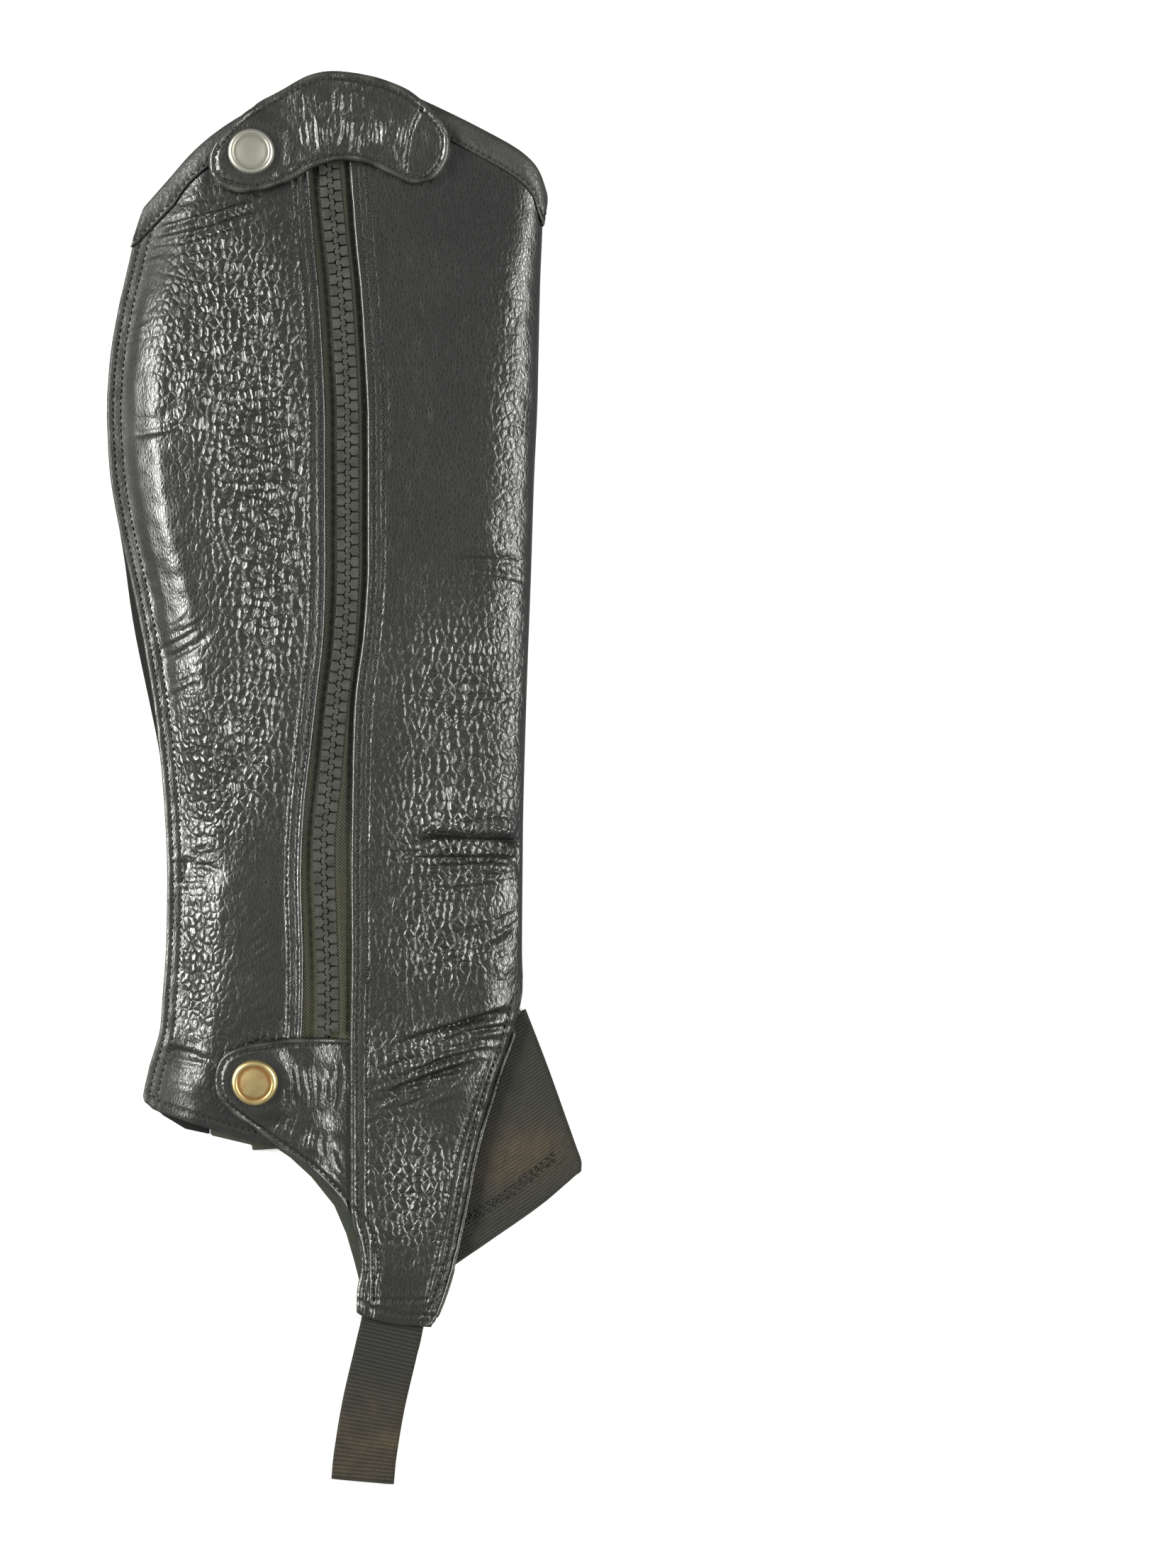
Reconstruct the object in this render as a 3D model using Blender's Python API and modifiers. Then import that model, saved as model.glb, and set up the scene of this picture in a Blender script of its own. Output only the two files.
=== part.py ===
# A leather half chap, zipped up and laid flat on a table with its zip side up.
# +Y runs up the leg, +X points to the shin fold, +Z is up and z = 0 is the table top.
# The outer surface of each sheet is worked out first; Solidify then gives it its wall, inwards.
import math
from collections import namedtuple

import bmesh
import bpy
import numpy as np
from mathutils import Vector

MM = 0.001

# Driving sizes
LEATHER = 1.5 * MM
TAB_LEATHER = 2.4 * MM          # two skins sewn back to back
BINDING_LEATHER = 1.0 * MM
ELASTIC = 1.3 * MM
ZIP_TAPE = 0.8 * MM
SEAM_GAP = 0.35 * MM            # between pieces that touch
CHAIN_TUCK = 0.1 * MM           # the zip tapes lie this much deeper than the seam gap asks
FLANGE_WIDTH = 6.0 * MM         # pressed flat double-stitched edge of the calf seam
FLANGE_HEIGHT = 3.4 * MM
FLANGE_SLOPE = 1.4 * MM         # how much it rises over its width
FLANGE_RISE = 1.6 * MM          # the flange stands higher under the top binding
FLANGE_RISE_FROM = 195.0 * MM
FLANGE_RISE_OVER = 20.0 * MM
BINDING_WIDTH = 8.6 * MM
BINDING_WRAP = 1.8 * MM         # how far the top binding stands past the edge that it covers
BINDING_DROP = 2.0 * MM         # how far down each panel's top edge is from the chap's outline
BACK_BINDING = 1.8 * MM         # the same band along the inner leg, pressed flat
ZIP_FOOT = -94.0 * MM
ZIP_TAPE_TOP = 254.0 * MM
ZIP_CHAIN_TOP = 240.0 * MM
ZIP_STEPS = 44                  # rows of each zip strip
ZIP_CHAIN_WIDTH = 7.4 * MM
ZIP_CHAIN_HEIGHT = 2.2 * MM
ZIP_TAPE_REACH = 12.5 * MM      # from the zip's middle line to each tape's sewn edge
BACK_EDGE_DROP = 7.2 * MM       # the inner leg's panels stop here, below the flat band
SLIDER_Y = 245.0 * MM
SLIDER_SIZE = (9.4 * MM, 9.0 * MM, 2.4 * MM)
SLIDER_PULL = 8.0 * MM
SLIDER_TILT = -0.10             # radians, down with the leather towards the top edge
ELASTIC_STRIP_WIDTH = 25.0 * MM
ELASTIC_STRIP_SHOWS = 2.9 * MM  # the most that the strip stands out past the calf seam
SNAP_RADIUS = 8.5 * MM
SNAP_STANDOFF = 2.0 * MM        # the closed snap's socket keeps the tab off the leather under it
SNAP_FLAT = 2.5 * MM            # the tab is flat this far past the cap
SNAP_BLEND = 7.0 * MM           # and back on its own form after this much more
TAB_OVER_BINDING = 1.9 * MM     # how much the top tab rises to pass over the binding
TAB_RISE_FROM = 14.0 * MM       # where that starts, down from the top edge
TAB_RISE_OVER = 4.0 * MM
TAB_ARCH = 2.3 * MM             # its arch over the zip and the slider
TAB_ARCH_HALF = 11.0 * MM
HEEL_TAB_CROSSES = (-13.0 * MM, 2.0 * MM)   # from over the calf panel to under the shin panel
STRAP_WIDTH = 23.3 * MM
STRAP_LOOP_HEIGHT = 4.4 * MM
FOLD_UNDER = 9.0 * MM           # how far the shin fold turns under before it lies flat
UNDER_STRIP = 3.5 * MM          # from there to the seam under the leg
APEX_Y = -79.0 * MM             # where the shin fold ends and the instep V opens
TONGUE_END_Y = -203.5 * MM      # where the strap comes out from under the tongue

# Each row is a section across the leg, in millimetres: where its edges are, how high the leather
# stands over the calf, the zip, the shin and at the right edge, and how wide the right edge's roll is.
Section = namedtuple("Section", "y left right calf zip shin edge roll")
SECTIONS = [
    Section(-203.0, -76.0, 31.5, 7.2, 7.3, 7.4, 6.8, 7.0),
    Section(-180.0, -76.0, 40.7, 6.6, 7.4, 7.7, 6.4, 8.0),
    Section(-158.0, -76.0, 45.3, 6.6, 8.0, 8.6, 6.0, 10.0),
    Section(-132.0, -75.5, 51.0, 8.0, 9.5, 9.8, 5.8, 12.0),
    Section(-117.0, -75.0, 55.5, 9.5, 10.5, 10.6, 5.7, 13.0),
    Section(-106.0, -72.5, 59.5, 10.5, 11.0, 11.6, 5.7, 14.0),
    Section(-93.0, -68.8, 63.1, 11.5, 11.5, 12.6, 5.8, 15.0),
    Section(-79.0, -67.6, 66.6, 12.5, 12.0, 13.5, 5.9, 16.0),
    Section(-63.0, -66.5, 66.5, 13.0, 12.5, 14.0, 6.0, 17.0),
    Section(-35.0, -66.0, 66.7, 13.0, 13.0, 13.5, 6.0, 18.0),
    Section(-10.0, -67.0, 67.0, 14.5, 14.0, 15.0, 6.5, 18.0),
    Section(32.0, -71.5, 68.2, 17.0, 15.5, 16.0, 7.0, 18.0),
    Section(75.0, -79.5, 69.8, 19.5, 16.5, 17.0, 7.2, 18.0),
    Section(112.0, -87.0, 71.0, 21.0, 17.0, 18.0, 7.5, 18.0),
    Section(138.0, -88.5, 72.2, 21.0, 17.0, 18.0, 7.5, 18.0),
    Section(160.0, -87.0, 72.7, 20.0, 16.5, 17.5, 7.5, 18.0),
    Section(186.0, -82.0, 73.3, 17.5, 15.0, 16.5, 7.2, 16.0),
    Section(214.5, -75.0, 74.3, 13.5, 13.0, 13.8, 7.2, 12.0),
    Section(238.0, -69.5, 74.4, 12.0, 12.5, 12.6, 7.0, 9.0),
    Section(262.0, -63.0, 74.4, 10.2, 11.0, 11.0, 6.6, 7.0),
]

# How the calf's height grows from its seam: millimetres across, and the share of the full height.
Swell = namedtuple("Swell", "across share")
CALF_SWELL = [Swell(12.0, 0.62), Swell(22.0, 0.93), Swell(38.0, 1.0)]

# The zip's middle line and how far each panel's edge stands from it.
ZipRow = namedtuple("ZipRow", "y middle to_calf to_shin")
ZIP_ROWS = [
    ZipRow(-94.0, -5.4, 9.3, 8.1),
    ZipRow(-79.0, -5.3, 9.0, 8.3),
    ZipRow(-52.5, -6.1, 8.3, 9.4),
    ZipRow(-26.0, -6.8, 8.2, 9.8),
    ZipRow(0.5, -4.4, 8.0, 8.2),
    ZipRow(27.0, -2.0, 7.4, 6.2),
    ZipRow(53.5, 1.2, 7.6, 6.4),
    ZipRow(80.0, 2.4, 8.0, 6.9),
    ZipRow(133.0, 2.3, 8.0, 7.0),
    ZipRow(159.5, 1.2, 8.0, 6.9),
    ZipRow(186.0, -0.7, 8.0, 6.9),
    ZipRow(212.5, -3.6, 8.0, 6.9),
    ZipRow(262.0, -7.6, 8.0, 6.9),
]

FOLD_START = 0.15               # the share of a fold's length in which it deepens
FOLD_FADE = 0.5                 # and the share in which it fades away

# The largest folds: a soft trough (or a ridge, where depth is negative) along a line.
Fold = namedtuple("Fold", "x0 y0 x1 y1 width depth")
FOLDS = [
    Fold(70.0, -29.5, 12.0, -29.0, 4.5, 3.4),     # the break over the ankle, at the shin
    Fold(70.0, -20.0, 26.0, -19.0, 5.5, -1.2),    # the leather that bulges above the break
    Fold(70.0, -51.0, 22.0, -67.0, 5.0, 1.6),
    Fold(68.0, -86.0, 12.0, -104.0, 5.0, 2.0),    # two of the folds that fan across the instep
    Fold(64.0, -98.0, 10.0, -118.0, 5.0, 1.8),
    Fold(72.0, 78.0, 36.0, 80.0, 5.0, 1.1),
    Fold(70.0, 33.0, 18.0, 34.0, 5.0, 0.9),
    Fold(-80.0, 130.0, -52.0, 136.0, 5.0, 1.3),
    Fold(-70.0, 44.0, -46.0, 58.0, 5.0, 1.3),
    Fold(-62.0, -31.0, -38.0, -33.0, 5.0, 1.2),
    Fold(-66.0, -101.0, -48.0, -105.0, 5.0, 1.6),
]

# Outlines in plan, in millimetres, each through the points that its shape needs.
TOP_OUTLINE = [(-74.6, 214.6), (-65.3, 224.5), (-56.6, 233.7), (-42.8, 244.3), (-24.0, 254.9),
               (-12.0, 260.9), (-1.0, 262.4), (12.0, 260.6), (35.4, 250.4), (56.6, 239.6),
               (66.8, 233.4), (72.2, 228.0), (74.3, 221.5)]
CALF_HEM = [(-74.4, -119.5), (-70.5, -122.6), (-56.0, -127.5), (-34.0, -133.8), (-20.0, -136.6)]
CALF_SEAM_FOOT = [(-74.9, -117.0), (-72.5, -106.0), (-68.8, -93.0)]
SHIN_EDGE_FOOT = [(4.9, -197.7), (5.2, -188.5), (6.7, -181.0), (5.6, -172.0), (3.2, -163.0),
                  (2.8, -140.0), (2.8, -96.0)]
V_EDGE = [(30.9, -203.0), (35.1, -197.0), (40.7, -180.0), (45.3, -158.0), (51.0, -132.0),
          (55.8, -116.0), (61.1, -100.2), (64.0, -89.6), (66.6, -79.0)]
TONGUE_END = [(4.9, -197.7), (9.0, -200.0), (20.0, -202.4), (30.9, -203.0)]
TOP_TAB_UPPER = [(-46.2, 237.0), (-41.0, 242.6), (-33.5, 249.4), (-24.0, 254.9), (-12.0, 260.9),
                 (-1.0, 262.4), (12.0, 260.6), (24.0, 256.0), (31.6, 250.2)]
TOP_TAB_LOWER = [(-45.4, 219.9), (-37.5, 217.2), (-30.0, 218.0), (-20.0, 221.4), (-12.3, 225.6),
                 (-2.0, 229.0), (8.5, 228.4), (18.0, 224.2), (26.0, 220.8), (34.0, 222.3)]
TOP_TAB_LEFT = [(-45.4, 219.9), (-49.0, 225.0), (-49.2, 231.5), (-46.2, 237.0)]
TOP_TAB_RIGHT = [(34.0, 222.3), (39.3, 230.0), (39.5, 240.0), (31.6, 250.2)]
HEEL_TAB_UPPER = [(-45.6, -103.0), (-41.5, -99.6), (-32.0, -96.6), (-14.0, -95.0), (7.4, -95.6)]
HEEL_TAB_LOWER = [(-45.3, -119.4), (-38.6, -125.4), (-22.8, -136.9), (-11.6, -145.0),
                  (-1.8, -155.8), (3.6, -165.0)]
HEEL_TAB_TIP = [(-45.3, -119.4), (-47.8, -111.5), (-45.6, -103.0)]
HEEL_TAB_SEAM = [(3.6, -165.0), (7.2, -152.0), (7.4, -120.0), (7.4, -95.6)]
GUSSET_SEAM = [(35.6, -184.4), (40.2, -158.0), (46.0, -132.0), (50.8, -116.0), (55.6, -100.2),
               (58.6, -90.5)]
GUSSET_FOLD = [(88.6, -145.4), (88.6, -141.8), (86.8, -136.6), (83.3, -126.7), (75.7, -105.5),
               (67.8, -85.0)]
GUSSET_HEM = [(35.6, -184.4), (57.4, -169.4), (75.0, -157.0), (88.6, -145.4)]
STRAP_LINE = [(18.9, -188.0), (18.4, -200.0), (15.9, -211.5), (11.0, -232.7), (7.8, -252.0),
              (6.9, -261.5)]
ELASTIC_FOOT = [(-50.5, -131.8), (-59.4, -129.9), (-67.8, -124.8)]
INNER_HEEL = [(-50.0, -131.4), (-49.4, -132.4), (-34.6, -135.9), (-34.3, -137.9), (-25.0, -137.3),
              (-20.3, -140.5), (-12.3, -147.9), (-3.8, -158.5), (0.7, -169.0), (3.8, -179.7),
              (5.4, -186.0), (5.6, -196.5), (7.4, -198.4)]
# Half a snap cap, from the top of its dome over its rim to its flat base: radius and height.
SNAP_PROFILE = [(0.0, 2.7), (3.4, 2.4), (6.0, 1.7), (6.5, 1.8), (7.6, 1.8), (8.5, 0.9), (8.1, 0.0),
                (0.0, 0.0)]
TOP_SNAP = (-33.3, 232.4)
HEEL_SNAP = (-32.3, -111.6)

# Colour, roughness and metallic value of each finish
FINISHES = {
    "leather": ((0.030, 0.031, 0.029), 0.42, 0.0),
    "elastic": ((0.022, 0.020, 0.017), 0.85, 0.0),
    "zip tape": ((0.030, 0.029, 0.024), 0.80, 0.0),
    "zip teeth": ((0.040, 0.041, 0.040), 0.38, 0.0),
    "nickel": ((0.42, 0.40, 0.36), 0.30, 1.0),
    "brass": ((0.55, 0.38, 0.17), 0.32, 1.0),
}


def smooth(xs, ys, x):
    """Monotone cubic through the points (xs, ys), held flat past its ends."""
    if x <= xs[0]:
        return ys[0]
    if x >= xs[-1]:
        return ys[-1]
    steps = np.diff(xs)
    slopes = np.diff(ys) / steps
    tangents = np.zeros(len(xs))
    tangents[0], tangents[-1] = slopes[0], slopes[-1]
    for k in range(1, len(xs) - 1):
        if slopes[k - 1] * slopes[k] > 0.0:
            tangents[k] = 2.0 / (1.0 / slopes[k - 1] + 1.0 / slopes[k])
    k = int(np.searchsorted(xs, x)) - 1
    t = (x - xs[k]) / steps[k]
    rise = (2 * t**3 - 3 * t**2 + 1) * ys[k] + (3 * t**2 - 2 * t**3) * ys[k + 1]
    lean = (t**3 - 2 * t**2 + t) * tangents[k] + (t**3 - t**2) * tangents[k + 1]
    return float(rise + lean * steps[k])


def column(rows, field, y):
    """One named column of a table of rows, read at height y up the leg, in metres."""
    ys = [row.y * MM for row in rows]
    values = [getattr(row, field) * MM for row in rows]
    return smooth(ys, values, y)


def spaced(start, end, count):
    """Evenly spaced plain numbers, both ends included."""
    return [start + (end - start) * k / (count - 1) for k in range(count)]


def ease(t):
    """0 to 1 with soft ends."""
    t = min(1.0, max(0.0, t))
    return t * t * (3.0 - 2.0 * t)


def fold_depth(x, y):
    """How deep the folds press the leather in at a point in plan."""
    total = 0.0
    for fold in FOLDS:
        start = Vector((fold.x0, fold.y0)) * MM
        run = Vector((fold.x1, fold.y1)) * MM - start
        along = (Vector((x, y)) - start).dot(run) / run.length_squared
        if not 0.0 < along < 1.0:
            continue
        away = (Vector((x, y)) - start - run * along).length
        ends = ease(along / FOLD_START) * ease((1.0 - along) / FOLD_FADE)
        total += fold.depth * MM * math.exp(-((away / (fold.width * MM)) ** 2)) * ends
    return total


def leather_top(x, y, folded=True):
    """Height of the leather's outer surface on the zip side, over a point in plan."""
    left, right = column(SECTIONS, "left", y), column(SECTIONS, "right", y)
    calf, shin = column(SECTIONS, "calf", y), column(SECTIONS, "shin", y)
    edge, roll = column(SECTIONS, "edge", y), column(SECTIONS, "roll", y)
    roll_start = right - roll
    flange = FLANGE_HEIGHT + FLANGE_RISE * ease((y - FLANGE_RISE_FROM) / FLANGE_RISE_OVER)
    if x > roll_start:
        share = min(1.0, (x - roll_start) / roll)
        # the shin fold is round; the tongue's edge, below it, is only bent down to the elastic
        roundness = 1.0 - 0.5 * ease((y - APEX_Y) / (12 * MM))
        drop = (1.0 - share * share) ** roundness
        sunk = fold_depth(x, y) * drop if folded else 0.0
        return edge + (shin - edge) * drop - sunk
    swell = [(left + step.across * MM, step.share * calf) for step in CALF_SWELL]
    swell[0] = (swell[0][0], max(swell[0][1], flange + 1.5 * FLANGE_SLOPE))
    profile = [(left, flange), (left + FLANGE_WIDTH, flange + FLANGE_SLOPE)] + swell
    profile += [(column(ZIP_ROWS, "middle", y), column(SECTIONS, "zip", y)), (roll_start, shin)]
    xs, zs = zip(*profile)
    sunk = fold_depth(x, y) * ease((x - left) / (2 * FLANGE_WIDTH)) if folded else 0.0
    return smooth(xs, zs, x) - sunk


def under_leather(point, gap):
    """Height that a piece sewn below the leather reaches, at a point in plan."""
    step = 1.5 * MM
    lean = (leather_top(point.x, point.y) - leather_top(point.x - step, point.y)) / step
    return leather_top(point.x, point.y) - (LEATHER + gap) * math.hypot(1.0, lean)


class Path:
    """A smooth line in plan through a few points, read by its share of the length."""

    def __init__(self, points):
        points = [Vector(p) * MM for p in points]
        ends = [2 * points[0] - points[1]] + points + [2 * points[-1] - points[-2]]
        line = []
        for a, b, c, d in zip(ends, ends[1:], ends[2:], ends[3:]):
            # each span's tangents are scaled by its own length, so short spans don't overshoot
            span = (c - b).length
            lean_in = (c - a) * span / ((c - b).length + (b - a).length)
            lean_out = (d - b) * span / ((d - c).length + (c - b).length)
            for t in spaced(0.0, 1.0, 17)[:-1]:
                line.append((2 * t**3 - 3 * t**2 + 1) * b + (3 * t**2 - 2 * t**3) * c
                            + (t**3 - 2 * t**2 + t) * lean_in + (t**3 - t**2) * lean_out)
        line.append(points[-1])
        spans = [(b - a).length for a, b in zip(line, line[1:])]
        self.lengths = np.concatenate([[0.0], np.cumsum(spans)])
        self.xs = np.array([point.x for point in line])
        self.ys = np.array([point.y for point in line])

    def at(self, share):
        place = share * self.lengths[-1]
        x, y = np.interp(place, self.lengths, self.xs), np.interp(place, self.lengths, self.ys)
        return Vector((float(x), float(y)))

    def share_at_x(self, x):
        return float(np.interp(x, self.xs, self.lengths) / self.lengths[-1])


def patch(left, right, bottom, top, across, up):
    """Plan points of a four-sided piece: rows from its bottom to its top, each from left to right."""
    corners = [bottom.at(0.0), bottom.at(1.0), top.at(0.0), top.at(1.0)]
    rows = []
    for v in up:
        row = []
        for u in across:
            sides = (1 - u) * left.at(v) + u * right.at(v)
            ends = (1 - v) * bottom.at(u) + v * top.at(u)
            shared = ((1 - u) * (1 - v) * corners[0] + u * (1 - v) * corners[1]
                      + (1 - u) * v * corners[2] + u * v * corners[3])
            row.append(sides + ends - shared)
        rows.append(row)
    return rows


def finish_material(name):
    if name in bpy.data.materials:
        return bpy.data.materials[name]
    colour, roughness, metallic = FINISHES[name]
    material = bpy.data.materials.new(name)
    material.use_nodes = True
    shader = material.node_tree.nodes["Principled BSDF"]
    shader.inputs["Base Color"].default_value = (*colour, 1.0)
    shader.inputs["Roughness"].default_value = roughness
    shader.inputs["Metallic"].default_value = metallic
    return material


def add_object(name, mesh, finish):
    mesh.materials.append(finish_material(finish))
    made = bpy.data.objects.new(name, mesh)
    chap.objects.link(made)
    return made


def sheet(name, grid, wall, finish):
    """A cloth or leather piece: quads between the points of a grid, then a wall on their inner side.
    Rows may be of unlike length; the quads stop where either row does."""
    work = bmesh.new()
    verts = [[work.verts.new(point) for point in row] for row in grid]
    for lower, upper in zip(verts, verts[1:]):
        for k in range(min(len(lower), len(upper)) - 1):
            work.faces.new((lower[k], lower[k + 1], upper[k + 1], upper[k]))
    for loose in [v for v in work.verts if not v.link_faces]:
        work.verts.remove(loose)
    mesh = bpy.data.meshes.new(name)
    work.to_mesh(mesh)
    work.free()
    mesh.shade_smooth()
    piece = add_object(name, mesh, finish)
    skin = piece.modifiers.new("wall", "SOLIDIFY")
    skin.thickness = wall
    skin.offset = -1.0
    skin.use_even_offset = True
    return piece


def flat_plate(name, outline, wall, finish):
    """A flat piece that lies on the table: one face, outer side down, with its wall above."""
    work = bmesh.new()
    face = work.faces.new([work.verts.new((point.x, point.y, 0.0)) for point in outline])
    face.normal_update()
    if face.normal.z > 0.0:
        face.normal_flip()
    mesh = bpy.data.meshes.new(name)
    work.to_mesh(mesh)
    work.free()
    piece = add_object(name, mesh, finish)
    skin = piece.modifiers.new("wall", "SOLIDIFY")
    skin.thickness = wall
    skin.offset = -1.0
    return piece


def body_seam(field):
    """The calf seam or a zip-side edge, from the hem to the top, as points in millimetres."""
    heights = [-80, -63, -35, -10, 11, 32, 53, 75, 93, 112, 125, 138, 149, 160, 173, 186, 200]
    if field == "calf seam":
        return [(column(SECTIONS, "left", y * MM) / MM, y) for y in heights]
    side = -1 if field == "to_calf" else 1
    middle = [column(ZIP_ROWS, "middle", y * MM) / MM for y in heights]
    return [(m + side * column(ZIP_ROWS, field, y * MM) / MM, y) for m, y in zip(middle, heights)]


top_outline = Path(TOP_OUTLINE)


def top_edge(x_from, x_to, drop=BINDING_DROP):
    """A stretch of the chap's top outline, moved down the leg, as points in millimetres."""
    start, end = top_outline.share_at_x(x_from * MM), top_outline.share_at_x(x_to * MM)
    places = [top_outline.at(share) for share in spaced(start, end, 24)]
    return [(place.x / MM, (place.y - drop) / MM) for place in places]


def raised(rows, lift=0.0):
    """Plan points lifted onto the leather's outer surface, and past it by lift."""
    return [[Vector((p.x, p.y, leather_top(p.x, p.y) + lift)) for p in row] for row in rows]


# Calf panel: from the calf seam to the zip
CALF_ROWS = spaced(0.0, 1.0, 50)
CALF_COLUMNS = [0.0, 0.09, 0.15, 0.21, 0.28, 0.36, 0.47, 0.6, 0.73, 0.86, 1.0]


def calf_grid():
    top_points = top_edge(-74.4, -14.8)
    seam = [CALF_HEM[0]] + CALF_SEAM_FOOT + body_seam("calf seam") + [top_points[0]]
    zip_edge = [CALF_HEM[-1], (-16.6, -110.0), (-14.9, -94.0)] + body_seam("to_calf") + [top_points[-1]]
    return raised(patch(Path(seam), Path(zip_edge), Path(CALF_HEM), Path(top_points),
                        CALF_COLUMNS, CALF_ROWS))


# Shin panel: from the zip over the shin fold, with the tongue that reaches down beside the foot
SHIN_ROWS = spaced(0.0, 1.0, 58)
SHIN_FLAT_COLUMNS = [0.0, 0.1, 0.22, 0.34, 0.46, 0.58, 0.68]
SHIN_ROLL_COLUMNS = [0.68 + 0.32 * math.sin(math.radians(a)) for a in (22, 42, 60, 76, 90)]
UNDER_ANGLES = [30, 60, 90]


def under_fold(row):
    """The shin fold below its widest point, then flat to the seam under the leg, for one row."""
    right = row[-1]
    xs, ys = [p.x for p in row], [p.y for p in row]
    turned = [(right.x - FOLD_UNDER * (1 - math.cos(math.radians(angle))),
               right.z * (1 - math.sin(math.radians(angle)))) for angle in UNDER_ANGLES]
    turned.append((right.x - FOLD_UNDER - UNDER_STRIP, 0.0))
    return [Vector((x, float(np.interp(x, xs, ys)), z)) for x, z in turned]


def shin_grid():
    top_points = top_edge(0.0, 74.3)
    zip_edge = SHIN_EDGE_FOOT + body_seam("to_shin")[1:] + [top_points[0]]
    fold_line = V_EDGE + [(column(SECTIONS, "right", y * MM) / MM, y)
                          for y in (-63, -35, -10, 32, 75, 112, 138, 160, 186, 205)] + [top_points[-1]]
    grid = raised(patch(Path(zip_edge), Path(fold_line), Path(TONGUE_END), Path(top_points),
                        SHIN_FLAT_COLUMNS + SHIN_ROLL_COLUMNS, SHIN_ROWS))
    for row in grid:
        if row[-1].y > APEX_Y:
            row += under_fold(row)
    return grid


def outward(grid, i, j):
    """The outer side's direction at one point of a grid."""
    along = grid[i][min(j + 1, len(grid[i]) - 1)] - grid[i][max(j - 1, 0)]
    up = grid[min(i + 1, len(grid) - 1)][j] - grid[max(i - 1, 0)][j]
    return along.cross(up).normalized()


def above_leather(x, y, lift):
    """A point over the leather's outer surface, moved out along the surface's own direction."""
    step = 1.0 * MM
    lean_x = (leather_top(x + step, y) - leather_top(x - step, y)) / (2 * step)
    lean_y = (leather_top(x, y + step) - leather_top(x, y - step)) / (2 * step)
    return Vector((x, y, leather_top(x, y))) + Vector((-lean_x, -lean_y, 1.0)).normalized() * lift


def binding(name, grid, columns):
    """The leather band turned over a panel's top edge, made from the panel's own points moved out."""
    out = SEAM_GAP + BINDING_LEATHER
    reach = BINDING_WIDTH - BINDING_WRAP
    rows = []
    top = len(grid) - 1
    for j in reversed(columns):
        edge = grid[top][j]
        normal = outward(grid, top, j)
        tangent = grid[top][min(j + 1, len(grid[top]) - 1)] - grid[top][max(j - 1, 0)]
        down = tangent.cross(normal).normalized()
        low = [edge + down * reach * share for share in (1.0, 0.5)]
        over = [above_leather(place.x, place.y, out + 0.5 * SEAM_GAP) for place in low]
        # round the edge: how far down the leg, and how far out from the panel's outer side
        turned = [(0.0, out), (-0.75 * BINDING_WRAP, 0.6 * out), (-BINDING_WRAP, -0.5 * LEATHER),
                  (-0.75 * BINDING_WRAP, -LEATHER - 0.6 * out)]
        rows.append(over + [edge + down * d + normal * n for d, n in turned])
    return sheet(name, rows, BINDING_LEATHER, "leather")


def zip_strip(name, near, far, lift, wall, finish, top):
    """A strip that follows the zip's middle line up to top, from near to far across it."""
    rows = []
    for y in spaced(ZIP_FOOT, top, ZIP_STEPS):
        middle = column(ZIP_ROWS, "middle", y)
        across = spaced(middle + near, middle + far, 3)
        rows.append([Vector((x, y, leather_top(x, y) + lift)) for x in across])
    return sheet(name, rows, wall, finish)


def flattened(height, x, y, centre):
    """The height of a tab, pressed flat where a snap grips it."""
    cx, cy = centre[0] * MM, centre[1] * MM
    away = math.hypot(x - cx, y - cy)
    step = 4 * MM
    lean_x = (height(cx + step, cy) - height(cx - step, cy)) / (2 * step)
    lean_y = (height(cx, cy + step) - height(cx, cy - step)) / (2 * step)
    plane = height(cx, cy) + SNAP_STANDOFF + lean_x * (x - cx) + lean_y * (y - cy)
    share = ease((away - SNAP_RADIUS - SNAP_FLAT) / SNAP_BLEND)
    return plane + (height(x, y) - plane) * share


def top_tab_height(x, y):
    """Outer surface of the top tab: over the binding near the top edge, and arched over the zip."""
    edge_y = top_outline.at(top_outline.share_at_x(x)).y
    on_binding = TAB_OVER_BINDING * ease((TAB_RISE_FROM - (edge_y - y)) / TAB_RISE_OVER)
    arch = TAB_ARCH * math.exp(-(((x - column(ZIP_ROWS, "middle", y)) / TAB_ARCH_HALF) ** 2))
    return leather_top(x, y, False) + SEAM_GAP + TAB_LEATHER + on_binding + arch


def heel_tab_height(x, y):
    """Outer surface of the heel tab: under the shin panel at its seam, over the calf panel at its tip."""
    clear = LEATHER + SEAM_GAP
    start, end = HEEL_TAB_CROSSES
    share = ease((x - start) / (end - start))
    return leather_top(x, y, False) + clear * (1.0 - 2.0 * share)


def tab(name, sides, height, snap, wall, across, up):
    left, right, lower, upper = (Path(side) for side in sides)
    plan = patch(left, right, lower, upper, across, up)
    grid = [[Vector((p.x, p.y, flattened(height, p.x, p.y, snap))) for p in row] for row in plan]
    return sheet(name, grid, wall, "leather")


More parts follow.
